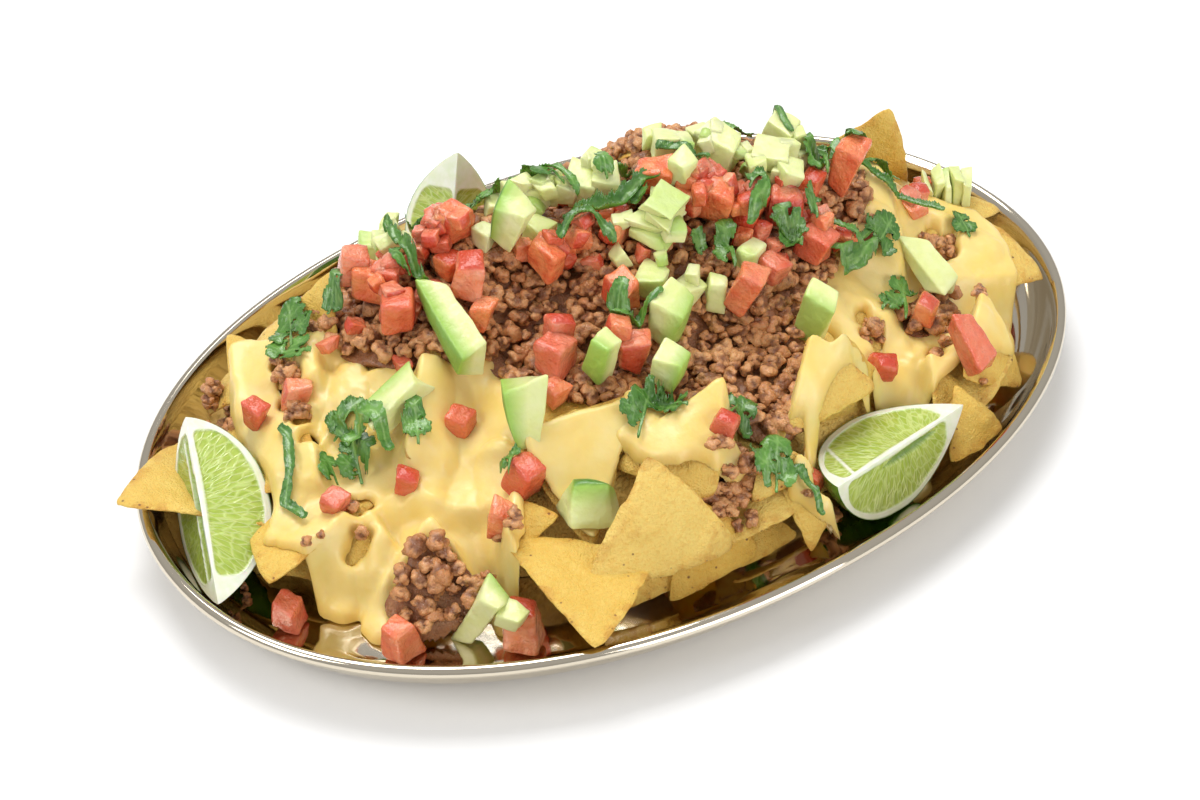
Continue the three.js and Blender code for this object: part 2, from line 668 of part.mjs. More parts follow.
// A lobed leaf: a fan of triangles between a wavy middle and a toothed edge.
function leafSolid(leaf, offset, growth) {
  const [x, y, length, width, yaw, rise, roll] = leaf;
  const points = [vector([0, 0, 1])];
  for (let i = 0; i < LEAF_POINTS; i += 1) {
    const angle = (i * 2 * Math.PI) / LEAF_POINTS;
    const lobe = i % 3 === 0 ? 0.62 : 1;
    const wave = 1.4 * Math.sin(angle * 3 + x);
    points.push(
      vector([(length / 2) * lobe * Math.cos(angle), (width / 2) * lobe * Math.sin(angle), wave]),
    );
  }
  const turn = new THREE.Euler(degrees(roll), degrees(-rise), degrees(yaw), "ZYX");
  const place = vector([x, y, 0]).add(vector(offset));
  points.forEach((point) => point.applyEuler(turn).add(place));
  const rim = Array.from({ length: LEAF_POINTS }, (_, i) => i + 1);
  const triangles = rim.map((a, i) => [0, a, rim[(i + 1) % LEAF_POINTS]]);
  const normal = UP.clone().applyEuler(turn);
  const thickness = LEAF_THICKNESS + 2 * growth;
  return sheetSolid(points, points.map(() => normal), thickness, triangles, rim);
}

// ---- putting the pieces together ----
const placed = [];

// The places to try for a piece, nearest first: aside by up to 6 mm, or up by up to 24 mm.
const NUDGES = [[0, 0, 0]];
for (let aside = 1; aside <= 6; aside += 1) {
  for (let turn = 0; turn < 360; turn += 45) {
    NUDGES.push([aside * Math.cos(degrees(turn)), aside * Math.sin(degrees(turn)), 0]);
  }
}
const LIFT_STEP = 0.75;
NUDGES.push(
  ...NUDGES.flatMap(([x, y]) => Array.from({ length: 32 }, (_, i) => [x, y, (i + 1) * LIFT_STEP])),
);
const effort = ([x, y, lift]) => Math.hypot(x, y) + 1.3 * lift;
NUDGES.sort((a, b) => effort(a) - effort(b));

// A piece settles at the nearest place that is clear of everything laid before it.
function settle(make) {
  return NUDGES.find((offset) => {
    const grown = make(offset, GAP);
    return placed.every((other) => !touches(grown, other.body));
  });
}

function lay(name, colour, roughness, make) {
  const nudge = settle(make);
  const body = make(nudge, 0).subtract(platterCutter);
  placed.push({ name, colour, roughness, body, cutter: make(nudge, GAP) });
}

const platter = platterSolid(0);
const platterCutter = platterSolid(GAP);
for (const lime of LIMES) {
  placed.push({
    name: lime.name,
    colour: LIME_GREEN,
    roughness: 0.4,
    body: limeSolid(lime, 0).subtract(platterCutter),
    cutter: limeSolid(lime, GAP),
  });
}

function layBlocks(kind, colour, roughness, blocks, supportAt) {
  blocks.forEach((block) => {
    const [x, y, , , height] = block;
    const number = placed.filter(({ name }) => name.startsWith(kind)).length + 1;
    const level = supportAt(x, y) + height * 0.48;
    const make = ([dx, dy, lift], growth) =>
      blockSolid(block, [x + dx, y + dy, level + lift], number, growth);
    lay(`${kind}_${String(number).padStart(2, "0")}`, colour, roughness, make);
  });
}

const onFloor = () => SHEET + GAP + 1;
layBlocks("tomato", TOMATO_RED, 0.35, TOMATOES, layerTop);
layBlocks("tomato", TOMATO_RED, 0.35, FALLEN_TOMATOES, onFloor);
layBlocks("avocado", AVOCADO_GREEN, 0.45, AVOCADOS, layerTop);
layBlocks("avocado", AVOCADO_GREEN, 0.45, FALLEN_AVOCADOS, onFloor);
LEAVES.forEach((leaf, i) => {
  const level = layerTop(leaf[0], leaf[1]) + 2;
  const make = ([dx, dy, lift], growth) => leafSolid(leaf, [dx, dy, level + lift], growth);
  lay(`cilantro_${String(i + 1).padStart(2, "0")}`, LEAF_GREEN, 0.5, make);
});

const cutters = placed.map(({ cutter }) => cutter);
const beefParts = (growth) => [
  beefLayer(growth),
  ...beefCrumbs(growth),
  ...SMALL_DICE.map((block, i) => {
    const [x, y] = block;
    return blockSolid(block, [x, y, layerTop(x, y) + 2], 50 + i, growth, 1);
  }),
];
const beefCutters = beefParts(GAP);
const layerCutters = [...beefCutters, ...CHEESES.map((cheese) => cheeseLayer(cheese, GAP))];
const covered = chips.filter((chip) => !chip.proud).map((chip) => chipSolid(chip, 0));
const proud = chips.filter((chip) => chip.proud);
const buried = cutBy(joined([coreSolid(), ...covered, ...minceSolids()]), layerCutters);
const heap = largestBody(
  cutBy(joined([buried, ...proud.map((chip) => chipSolid(chip, 0))]), [platterCutter, ...cutters]),
);
const proudCutters = proud.map((chip) => chipSolid(chip, GAP));
const mince = joined(beefParts(0));
const beef = largestBody(cutBy(mince, [...proudCutters, ...cutters]));

const object = new THREE.Group();

function addPiece(name, body, colour, roughness, metalness = 0) {
  const material = new THREE.MeshStandardMaterial({ color: colour, roughness, metalness });
  const mesh = new THREE.Mesh(geometryOf(body), material);
  mesh.name = name;
  object.add(mesh);
}

addPiece("platter", platter, STEEL_GREY, 0.12, 1);
addPiece("nacho_heap", heap, CHIP_YELLOW, 0.75);
addPiece("ground_beef", beef, BEEF_BROWN, 0.5);
for (const cheese of CHEESES) {
  const around = [...beefCutters, platterCutter, ...proudCutters, ...cutters];
  const body = largestBody(cutBy(cheeseLayer(cheese, 0), around));
  addPiece(cheese.name, body, CHEESE_YELLOW, 0.35);
}
for (const { name, body, colour, roughness } of placed) addPiece(name, body, colour, roughness);

export default object;
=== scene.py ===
import math
import random

import bmesh
import bpy
import numpy as np
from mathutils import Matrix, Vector
from mathutils.geometry import convex_hull_2d


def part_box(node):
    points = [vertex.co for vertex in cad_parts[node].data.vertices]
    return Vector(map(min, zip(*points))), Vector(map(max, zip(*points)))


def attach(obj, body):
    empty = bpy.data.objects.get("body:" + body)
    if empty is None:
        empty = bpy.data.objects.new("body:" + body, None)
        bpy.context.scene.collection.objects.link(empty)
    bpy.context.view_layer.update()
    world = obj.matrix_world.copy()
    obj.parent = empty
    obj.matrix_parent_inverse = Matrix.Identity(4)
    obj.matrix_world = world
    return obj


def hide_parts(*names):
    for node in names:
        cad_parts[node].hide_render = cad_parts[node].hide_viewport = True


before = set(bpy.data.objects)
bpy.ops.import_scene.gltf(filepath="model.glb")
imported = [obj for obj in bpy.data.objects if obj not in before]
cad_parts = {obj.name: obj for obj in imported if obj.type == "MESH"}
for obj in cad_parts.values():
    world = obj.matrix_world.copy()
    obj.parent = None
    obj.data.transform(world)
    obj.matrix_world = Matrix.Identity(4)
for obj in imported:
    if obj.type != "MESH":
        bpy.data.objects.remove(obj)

scene = bpy.context.scene
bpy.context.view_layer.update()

# camera and light
cameraSettings = {
    "azimuth": -38.01,
    "elevation": 39.88,
    "distance": 0.73505,
    "fieldOfView": 32,
    "shift": (-0.0206, 0.0076),
}


def addCamera(settings):
    turn = math.radians(settings["azimuth"])
    rise = math.radians(settings["elevation"])
    back = Vector((math.sin(turn) * math.cos(rise), -math.cos(turn) * math.cos(rise), math.sin(rise)))
    lens = bpy.data.cameras.new("camera")
    lens.sensor_fit = "HORIZONTAL"
    lens.angle = math.radians(settings["fieldOfView"])
    lens.shift_x, lens.shift_y = settings["shift"]
    camera = bpy.data.objects.new("camera", lens)
    camera.location = back * settings["distance"]
    camera.rotation_mode = "QUATERNION"
    camera.rotation_quaternion = (-back).to_track_quat("-Z", "Y")
    scene.collection.objects.link(camera)
    scene.camera = camera


lightSettings = {
    "sky": 0.54,
    "horizon": 0.42,
    "heights": (-0.1, 0.7),  # where the horizon's light ends and the sky's begins
    "lamps": [  # name, place, size, watts
        ("overhead", (0.15, 0.50, 1.25), 0.8, 13.0),
        ("window", (-0.9, 0.1, 0.8), 0.5, 4.0),
        ("fill", (0.2, -1.2, 0.4), 0.8, 6.5),
    ],
}


def addNode(tree, kind, values=None, **settings):
    made = tree.nodes.new(kind)
    for key, value in settings.items():
        setattr(made, key, value)
    for key, value in (values or {}).items():
        if isinstance(value, bpy.types.NodeSocket):
            tree.links.new(value, made.inputs[key])
        else:
            made.inputs[key].default_value = value
    return made


def addLight(settings):
    world = bpy.data.worlds.new("studio")
    world.use_nodes = True
    tree = world.node_tree
    tree.nodes.clear()
    place = addNode(tree, "ShaderNodeTexCoord")
    height = addNode(tree, "ShaderNodeSeparateXYZ", {0: place.outputs["Generated"]}).outputs["Z"]
    strength = mapped(tree, height, *settings["heights"], settings["horizon"], settings["sky"])
    glow = addNode(tree, "ShaderNodeBackground", {"Color": (1, 1, 1, 1), "Strength": strength})
    addNode(tree, "ShaderNodeOutputWorld", {"Surface": glow.outputs[0]})
    scene.world = world
    for name, place, size, watts in settings["lamps"]:
        lamp = bpy.data.lights.new(name, "AREA")
        lamp.size = size
        lamp.energy = watts
        holder = bpy.data.objects.new(name, lamp)
        holder.location = place
        holder.rotation_euler = (-Vector(place)).to_track_quat("-Z", "Y").to_euler()
        scene.collection.objects.link(holder)
    scene.view_settings.view_transform = "Standard"


# small helpers; lengths are in millimetres from here on
def chance(seed):
    value = math.sin(seed * 12.9898) * 43758.5453
    return value - math.floor(value)


def spread(seed, reach):
    return (chance(seed) * 2 - 1) * reach


def valueNoise(points, size, seed=0):  # a smooth random field, -1 to 1
    at = np.asarray(points, float) / size + np.array([seed * 7.31, seed * 3.77, seed * 5.19])
    low = np.floor(at)
    part = at - low
    part = part * part * (3 - 2 * part)
    total = np.zeros(len(at))
    for corner in np.ndindex(2, 2, 2):
        value = np.sin((low + corner) @ np.array([127.1, 311.7, 74.7])) * 43758.5453
        total += ((value - np.floor(value)) * 2 - 1) * np.prod(np.where(corner, part, 1 - part), axis=1)
    return total


def stacked(x, y, z):  # three grids as the columns of one list
    return np.stack([x.ravel(), y.ravel(), z.ravel()], 1)


def flatNoise(x, y, size, seed=0):
    return valueNoise(stacked(x, y, 0 * x), size, seed).reshape(x.shape)


def eased(value, low, high):
    part = np.clip((value - low) / (high - low), 0, 1)
    return part * part * (3 - 2 * part)


def unit(vectors):
    return vectors / np.maximum(np.linalg.norm(vectors, axis=-1, keepdims=True), 1e-9)


def turned(points, yaw, tilt=0, roll=0):
    c, s = math.cos(math.radians(roll)), math.sin(math.radians(roll))
    aroundY = np.array([[c, 0, s], [0, 1, 0], [-s, 0, c]])
    c, s = math.cos(math.radians(tilt)), math.sin(math.radians(tilt))
    aroundX = np.array([[1, 0, 0], [0, c, -s], [0, s, c]])
    c, s = math.cos(math.radians(yaw)), math.sin(math.radians(yaw))
    aroundZ = np.array([[c, -s, 0], [s, c, 0], [0, 0, 1]])
    return points @ (aroundZ @ aroundX @ aroundY).T


def newBundle():
    return {"points": [], "faces": [], "fields": {}, "count": 0}


def addTo(bundle, points, faces, **fields):
    bundle["points"].append(np.asarray(points, float))
    bundle["faces"].append(np.asarray(faces) + bundle["count"])
    bundle["count"] += len(points)
    for name, values in fields.items():
        values = np.broadcast_to(values, (len(points),)) if np.ndim(values) < 2 else values
        bundle["fields"].setdefault(name, []).append(values)


def makePiece(name, bundle, material, nodes):
    points = np.concatenate(bundle["points"])
    faces = np.concatenate(bundle["faces"])
    mesh = bpy.data.meshes.new(name)
    mesh.from_pydata(points * 0.001, [], faces)
    mesh.polygons.foreach_set("use_smooth", np.full(len(mesh.polygons), True))
    for label, parts in bundle["fields"].items():
        values = np.concatenate(parts).astype(np.float32)
        isVector = values.ndim == 2
        layer = mesh.attributes.new(label, "FLOAT_VECTOR" if isVector else "FLOAT", "POINT")
        layer.data.foreach_set("vector" if isVector else "value", values.ravel())
    mesh.materials.append(material)
    mesh.update()
    piece = bpy.data.objects.new(name, mesh)
    scene.collection.objects.link(piece)
    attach(piece, "root")
    if nodes:
        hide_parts(*nodes)
    print(name, len(faces), "faces")
    return piece


def cleanMesh(piece, gap):  # joins doubled points and turns every face outward
    mesh = bmesh.new()
    mesh.from_mesh(piece.data)
    bmesh.ops.remove_doubles(mesh, verts=mesh.verts, dist=gap)
    bmesh.ops.recalc_face_normals(mesh, faces=mesh.faces)
    mesh.to_mesh(piece.data)
    mesh.free()


def ringFaces(rows, around):  # triangles between rows of points that each go right round
    a = (np.arange(rows - 1)[:, None] * around + np.arange(around)[None, :]).ravel()
    b = (np.arange(rows - 1)[:, None] * around + (np.arange(around)[None, :] + 1) % around).ravel()
    return np.concatenate([np.stack([a, b, b + around], 1), np.stack([a, b + around, a + around], 1)])


def closedSheet(points, normals, half, triangles, rim, lip=0.3):
    # two faces and a rounded rim between them; also says which point each one was made from
    count = len(points)
    half = np.broadcast_to(half, (count,))[:, None]
    rimPoints = points[rim]
    outward = unit(rimPoints - points.mean(0)) * lip
    allPoints = np.concatenate([points + normals * half, points - normals * half, rimPoints + outward])
    rim = np.asarray(rim)
    after = np.roll(rim, -1)
    edge = np.arange(len(rim)) + 2 * count
    edgeAfter = np.roll(edge, -1)
    triangles = np.asarray(triangles)
    faces = [triangles, triangles[:, [0, 2, 1]] + count]
    faces.append(np.stack([rim, edge, after], 1))
    faces.append(np.stack([after, edge, edgeAfter], 1))
    faces.append(np.stack([edge, rim + count, edgeAfter], 1))
    faces.append(np.stack([edgeAfter, rim + count, after + count], 1))
    return allPoints, np.concatenate(faces), np.concatenate([np.arange(count), np.arange(count), rim])


# layers over a grid
def smoothLoop(corners, pieces=8):  # a Catmull-Rom curve through the corners
    corners = np.array(corners, float)
    before, after, later = np.roll(corners, 1, 0), np.roll(corners, -1, 0), np.roll(corners, -2, 0)
    straight = after - before
    square = 2 * before - 5 * corners + 4 * after - later
    cubic = 3 * corners - before - 3 * after + later
    steps = np.arange(pieces) / pieces
    points = [0.5 * (2 * corners + straight * t + square * t**2 + cubic * t**3) for t in steps]
    return np.stack(points, 1).reshape(-1, 2)


def segmentDistance(x, y, ax, ay, bx, by):
    dx, dy = bx - ax, by - ay
    along = np.clip(((x - ax) * dx + (y - ay) * dy) / max(dx * dx + dy * dy, 1e-6), 0, 1)
    return np.hypot(x - ax - along * dx, y - ay - along * dy)


def insideDistance(x, y, loop):  # how far inside the loop, negative outside
    nearest = np.full(x.shape, 1e9)
    inside = np.zeros(x.shape, bool)
    for (ax, ay), (bx, by) in zip(loop, np.roll(loop, -1, 0)):
        nearest = np.minimum(nearest, segmentDistance(x, y, ax, ay, bx, by))
        if ay != by:
            inside ^= ((ay > y) != (by > y)) & (x < (bx - ax) * (y - ay) / (by - ay) + ax)
    return np.where(inside, nearest, -nearest)


def softMax(a, b, width):  # the larger, eased over the width where the two are close
    part = np.clip(0.5 + 0.5 * (a - b) / width, 0, 1)
    return b + (a - b) * part + width * part * (1 - part)


def addGridSolid(bundle, x, y, top, bottom, depth, step, fields):
    # a closed layer over the cells where the depth is positive
    gradX, gradY = np.gradient(depth, step)
    size = np.maximum(np.hypot(gradX, gradY), 0.3)
    outside = np.minimum(depth, 0)  # the outermost corners slide onto the edge
    px, py = x - outside * gradX / size**2, y - outside * gradY / size**2
    index = np.arange(x.size).reshape(x.shape)
    corners = [index[:-1, :-1], index[1:, :-1], index[1:, 1:], index[:-1, 1:]]
    keep = np.any([depth.ravel()[c] > 0 for c in corners], axis=0)
    far = np.any([depth.ravel()[c] < -1.6 * step for c in corners], axis=0)  # too far out to slide
    a, b, c, d = (corner[keep & ~far] for corner in corners)
    faces = np.concatenate([np.stack([a, b, c], 1), np.stack([a, c, d], 1)])
    edges = np.concatenate([faces[:, [0, 1]], faces[:, [1, 2]], faces[:, [2, 0]]])
    code = edges[:, 0].astype(np.int64) * x.size + edges[:, 1]
    opposite = edges[:, 1].astype(np.int64) * x.size + edges[:, 0]
    border = edges[~np.isin(code, opposite)]  # these have a face on one side only
    used = np.unique(faces)
    place = np.full(x.size, -1)
    place[used] = np.arange(len(used))
    count = len(used)
    upper = np.stack([px.ravel()[used], py.ravel()[used], top.ravel()[used]], 1)
    lower = np.stack([px.ravel()[used], py.ravel()[used], bottom.ravel()[used]], 1)
    faces, border = place[faces], place[border]
    wall = np.concatenate([
        np.stack([border[:, 0], border[:, 0] + count, border[:, 1]], 1),
        np.stack([border[:, 1], border[:, 0] + count, border[:, 1] + count], 1),
    ])
    allFaces = np.concatenate([faces, faces[:, [0, 2, 1]] + count, wall])
    values = {name: np.tile(part.ravel()[used], 2) for name, part in fields.items()}
    addTo(bundle, np.concatenate([upper, lower]), allFaces, **values)


# shared shader groups
def newGroup(name, inputs, outputs):
    group = bpy.data.node_groups.new(name, "ShaderNodeTree")
    for label, value in inputs.items():
        socket = group.interface.new_socket(label, in_out="INPUT", socket_type="NodeSocketFloat")
        socket.default_value = value
    for label, kind in outputs.items():
        group.interface.new_socket(label, in_out="OUTPUT", socket_type=kind)
    return group, addNode(group, "NodeGroupInput"), addNode(group, "NodeGroupOutput")


def mathNode(tree, operation, a, b=0.0):
    return addNode(tree, "ShaderNodeMath", {0: a, 1: b}, operation=operation).outputs[0]


def times(tree, a, b):
    return mathNode(tree, "MULTIPLY", a, b)


def mapped(tree, value, low, high, toLow=0.0, toHigh=1.0):
    values = {0: value, 1: low, 2: high, 3: toLow, 4: toHigh}
    return addNode(tree, "ShaderNodeMapRange", values).outputs[0]


def mixColour(tree, factor, a, b):
    mix = addNode(tree, "ShaderNodeMix", data_type="RGBA")
    for index, value in ((0, factor), (6, a), (7, b)):
        if isinstance(value, bpy.types.NodeSocket):
            tree.links.new(value, mix.inputs[index])
        else:
            mix.inputs[index].default_value = value if index == 0 else (*value, 1)
    return mix.outputs[2]


def tinted(tree, colour, mask, low, high, strength, other):  # the other colour where the mask is high
    return mixColour(tree, mapped(tree, mask, low, high, 0.0, strength), colour, other)


def field(tree, name):
    return addNode(tree, "ShaderNodeAttribute", attribute_name=name).outputs["Fac"]


def objectPlace(tree):
    return addNode(tree, "ShaderNodeTexCoord").outputs["Object"]


def buildMottle():  # cloudy light and dark, the size in millimetres
    entries = {"Size": 5.0, "Contrast": 1.0}
    group, entry, leave = newGroup("mottle", entries, {"Value": "NodeSocketFloat"})
    scale = mathNode(group, "DIVIDE", 1000.0, entry.outputs["Size"])
    values = {"Vector": objectPlace(group), "Scale": scale, "Detail": 3.0}
    cloud = addNode(group, "ShaderNodeTexNoise", values)
    centred = mathNode(group, "SUBTRACT", cloud.outputs["Fac"], 0.5)
    strong = times(group, centred, entry.outputs["Contrast"])
    group.links.new(mathNode(group, "ADD", times(group, strong, 3.0), 0.5), leave.inputs["Value"])
    return group


def buildSpecks():  # scattered small spots, the size in millimetres
    entries = {"Size": 1.5, "Amount": 0.3, "Radius": 0.2}
    group, entry, leave = newGroup("specks", entries, {"Mask": "NodeSocketFloat"})
    scale = mathNode(group, "DIVIDE", 1000.0, entry.outputs["Size"])
    cells = addNode(group, "ShaderNodeTexVoronoi", {"Vector": objectPlace(group), "Scale": scale})
    pick = addNode(group, "ShaderNodeSeparateColor", {0: cells.outputs["Color"]})
    chosen = mathNode(group, "LESS_THAN", pick.outputs[0], entry.outputs["Amount"])
    reach = times(group, entry.outputs["Radius"], mapped(group, pick.outputs[1], 0.0, 1.0, 0.5, 1.3))
    spot = mapped(group, cells.outputs["Distance"], reach, times(group, reach, 0.5))
    group.links.new(times(group, chosen, spot), leave.inputs["Mask"])
    return group


mottleGroup = buildMottle()
speckGroup = buildSpecks()


def mottle(tree, size, contrast=1.0):
    made = addNode(tree, "ShaderNodeGroup", node_tree=mottleGroup)
    made.inputs["Size"].default_value = size
    made.inputs["Contrast"].default_value = contrast
    return addNode(tree, "ShaderNodeClamp", {0: made.outputs["Value"]}).outputs[0]


def specks(tree, size, amount, radius):
    made = addNode(tree, "ShaderNodeGroup", node_tree=speckGroup)
    for label, value in (("Size", size), ("Amount", amount), ("Radius", radius)):
        made.inputs[label].default_value = value
    return made.outputs["Mask"]


def newMaterial(name, values):
    material = bpy.data.materials.new(name)
    material.use_nodes = True
    for label, value in values.items():
        material.node_tree.nodes["Principled BSDF"].inputs[label].default_value = value
    return material, material.node_tree


def newFood(name, roughness, soft, coat=(0.0, 0.03)):
    # soft is how much light soaks in, how deep in metres and how far for red, green and blue;
    # coat is the weight and roughness of a wet coat
    values = {"Roughness": roughness, "Coat Weight": coat[0], "Coat Roughness": coat[1]}
    labels = ("Subsurface Weight", "Subsurface Scale", "Subsurface Radius")
    return newMaterial(name, {**values, **dict(zip(labels, soft))})


def finishMaterial(material, links, height, distance, strength):  # the bump's distance in millimetres
    tree = material.node_tree
    bump = {"Height": height, "Distance": distance * 0.001, "Strength": strength}
    links = {**links, "Normal": addNode(tree, "ShaderNodeBump", bump).outputs[0]}
    for label, socket in links.items():
        tree.links.new(socket, tree.nodes["Principled BSDF"].inputs[label])
    print(material.name, "made")
    return material


# the shape of the platter and the heap, as in the frame
platterSettings = {
    "length": 350,
    "width": 241,
    "height": 22,
    "ovalPower": 2.1,
    "sheet": 1.5,
    "beadRadius": 2,
    "wallRun": 24,
    "around": 180,
    # the warm tint is partly painted reflection, standing in for the golden food that the tray mirrors
    "metal": (0.67, 0.60, 0.48, 1),
    "roughness": (0.04, 0.08),
}
platterHalfWidth = platterSettings["width"] / 2
platterStretch = (platterSettings["length"] - platterSettings["width"]) / 2
heapHalfLength, heapHalfWidth, heapBack = 150, 97, 6
domes = [  # x, y, half length, half width, height, power, shoulder
    (0, heapBack, heapHalfLength, heapHalfWidth, 42, 3.0, 0.62),
    (34, 26, 104, 62, 27, 2.0, 1.1),
    (-66, 42, 62, 50, 17, 2.0, 1.1),
    (116, -8, 38, 46, 13, 2.0, 1.1),
]
domeSquareness = 2.2
heapLumps = {"height": 2.2, "lengthX": 13, "lengthY": 11, "startX": 1.3, "startY": -0.4}


def heapHeight(x, y):
    height = 0
    for middleX, middleY, halfLength, halfWidth, top, power, shoulder in domes:
        across = np.abs((x - middleX) / halfLength) ** domeSquareness
        along = np.abs((y - middleY) / halfWidth) ** domeSquareness
        reach = (across + along) ** (1 / domeSquareness)
        height = height + top * np.maximum(1 - reach**power, 0) ** shoulder
    across = np.sin(x / heapLumps["lengthX"] + heapLumps["startX"])
    along = np.cos(y / heapLumps["lengthY"] + heapLumps["startY"])
    lumps = heapLumps["height"] * across * along * np.minimum(height / 25, 1)
    return platterSettings["sheet"] + height + lumps


def heapNormal(x, y):
    slopeX = (heapHeight(x + 3, y) - heapHeight(x - 3, y)) / 6
    slopeY = (heapHeight(x, y + 3) - heapHeight(x, y - 3)) / 6
    return unit(np.array([-slopeX, -slopeY, 1.0]))


def wallLine(steps, lift):  # the wall from the floor's edge to the bead: inset from the rim, and height
    run, bead = platterSettings["wallRun"], platterSettings["beadRadius"]
    foot = platterSettings["height"] - 1.5 * bead
    t = np.linspace(0, 1, steps)
    inset = run * (1 - t) ** 2 + 0.8 * run * t * (1 - t) + 1.6 * bead * t**2
    height = foot * t**2
    slopeInset = np.gradient(inset, t)
    slopeHeight = np.gradient(height, t)
    size = np.hypot(slopeInset, slopeHeight)
    return np.stack([inset + slopeHeight / size * lift, height - slopeInset / size * lift], 1)


def ovalPoint(radius, angle):  # the radius is the half width of the oval that the point lies on
    floorHalfWidth = platterHalfWidth - platterSettings["wallRun"]
    floorStretch = (floorHalfWidth + platterStretch) / floorHalfWidth
    halfLength = np.where(radius < floorHalfWidth, radius * floorStretch, radius + platterStretch)
    power = 2 / platterSettings["ovalPower"]
    c, s = np.cos(angle), np.sin(angle)
    return halfLength * np.sign(c) * np.abs(c) ** power, radius * np.sign(s) * np.abs(s) ** power


def trayTop(x, y):  # the metal's upper face, found by halving the gap between two ovals
    power = platterSettings["ovalPower"]
    low, high = np.zeros(np.shape(x)), np.full(np.shape(x), platterHalfWidth + 20.0)
    for _ in range(18):
        middle = (low + high) / 2
        across, along = np.abs(x / (middle + platterStretch)), np.abs(y / np.maximum(middle, 1e-3))
        outside = across**power + along**power > 1
        low, high = np.where(outside, middle, low), np.where(outside, high, middle)
    line = wallLine(40, platterSettings["sheet"])[::-1]
    return np.interp(platterHalfWidth - high, line[:, 0], line[:, 1])


# the ground that later pieces lie on: one height for each cell of a grid
cell = 0.8
gridX = np.arange(-188, 189, cell)
gridY = np.arange(-126, 127, cell)
meshX, meshY = np.meshgrid(gridX, gridY, indexing="ij")
ground = trayTop(meshX, meshY)


def cellsOf(x, y):
    i = np.clip(np.rint((x - gridX[0]) / cell).astype(int), 0, len(gridX) - 1)
    j = np.clip(np.rint((y - gridY[0]) / cell).astype(int), 0, len(gridY) - 1)
    return i, j


def raiseGround(points, faces, splits=4):
    a, b, c = points[faces[:, 0]], points[faces[:, 1]], points[faces[:, 2]]
    for i in range(splits + 1):
        for j in range(splits + 1 - i):
            at = a + (b - a) * (i / splits) + (c - a) * (j / splits)
            np.maximum.at(ground, cellsOf(at[:, 0], at[:, 1]), at[:, 2])


def raiseByBundle(bundle, splits=4):
    raiseGround(np.concatenate(bundle["points"]), np.concatenate(bundle["faces"]), splits)


def groundAt(x, y):
    return ground[cellsOf(np.asarray(x, float), np.asarray(y, float))]


def slid(values, reach, blend):  # a filter along both axes, such as a running maximum
    for axis in (0, 1):
        best = values
        for shift in range(1, reach + 1):
            for way in (-shift, shift):
                best = blend(best, np.roll(values, way, axis))
        values = best
    return values


def blurred(values, sigma):
    reach = int(3 * sigma)
    weights = np.exp(-0.5 * (np.arange(-reach, reach + 1) / sigma) ** 2)
    weights /= weights.sum()
    for axis in (0, 1):
        values = sum(w * np.roll(values, k - reach, axis) for k, w in enumerate(weights))
    return values


# platter
def steelMaterial(settings):
    # the metal colour's warm tint is partly painted reflection of the golden food
    values = {"Base Color": settings["metal"], "Metallic": 1.0, "Roughness": 0.07}
    material, tree = newMaterial("polishedSteel", values)
    smears = mapped(tree, mottle(tree, 26), 0.2, 0.9, *settings["roughness"])
    fine = mapped(tree, mottle(tree, 1.5, 1.2), 0, 1, 0, 0.02)
    links = {"Roughness": mathNode(tree, "ADD", smears, fine)}
    return finishMaterial(material, links, mottle(tree, 9), 0.02, 0.6)


def makePlatter(settings):
    sheet, bead, floorEdge = settings["sheet"], settings["beadRadius"], settings["wallRun"] + 2
    turns = np.radians(np.arange(-100, 141, 12))
    beadFoot = settings["height"] - bead
    beadLine = np.stack([bead - bead * np.cos(turns), beadFoot + bead * np.sin(turns)], 1)
    underFloor = np.stack([np.linspace(platterHalfWidth, floorEdge, 10), np.zeros(10)], 1)
    overFloor = np.stack([np.linspace(floorEdge, platterHalfWidth, 14), np.full(14, sheet)], 1)
    inside = wallLine(26, sheet)[::-1][1:]
    profile = np.concatenate([underFloor, wallLine(22, 0), beadLine, inside, overFloor])
    around = settings["around"]
    angle = np.arange(around) * 2 * math.pi / around
    radius = (platterHalfWidth - profile[:, 0])[:, None]
    x, y = ovalPoint(np.repeat(radius, around, 1), angle[None, :])
    points = np.stack([x, y, np.repeat(profile[:, 1:], around, 1)], 2).reshape(-1, 3)
    bundle = newBundle()
    addTo(bundle, points, ringFaces(len(profile), around))
    cleanMesh(makePiece("ovalPlatter", bundle, steelMaterial(settings), ["platter"]), 1e-5)


# tortilla chips
chipSettings = {
    "half": 0.75,  # half the thickness
    "side": 57,
    "warp": 1.3,
    "blister": 1.5,  # how high the blisters are
    "bulge": 0.12,  # how far its sides bow out
    "blunt": 0.1,  # how far its corners are drawn in
    "ragged": (0.5, 0.8),  # fine and coarse roughness of the rim
    "grain": 0.2,
    "rows": 28,
    "fillerRows": 18,
    "fillerScale": 0.9,
    "fillerSink": 2.0,
    "overMetal": 1.5,
    "frontLimit": 0.94,  # how much of the heap's foot the fillers may take along the front
    "standOut": 8,  # how far a filler may rise out of the heap
    "bedSteps": 36,
    "bedTurns": 140,
    "bedReach": 0.965,
    "bedFront": 0.93,
    "bedLumps": (2.2, 1.2),
    "bedSink": 6,
    "colours": {
        "golden": (0.80, 0.55, 0.115),
        "deep": (0.74, 0.46, 0.07),
        "pale": (0.85, 0.65, 0.20),
        "grain": (0.76, 0.39, 0.035),
        "toasted": (0.60, 0.27, 0.03),
        "rimSpot": (0.26, 0.09, 0.015),
        "tip": (0.38, 0.14, 0.02),
        "spot": (0.22, 0.085, 0.02),
        "bed": (0.84, 0.58, 0.15),
        "bedShade": (0.68, 0.42, 0.09),
    },
}
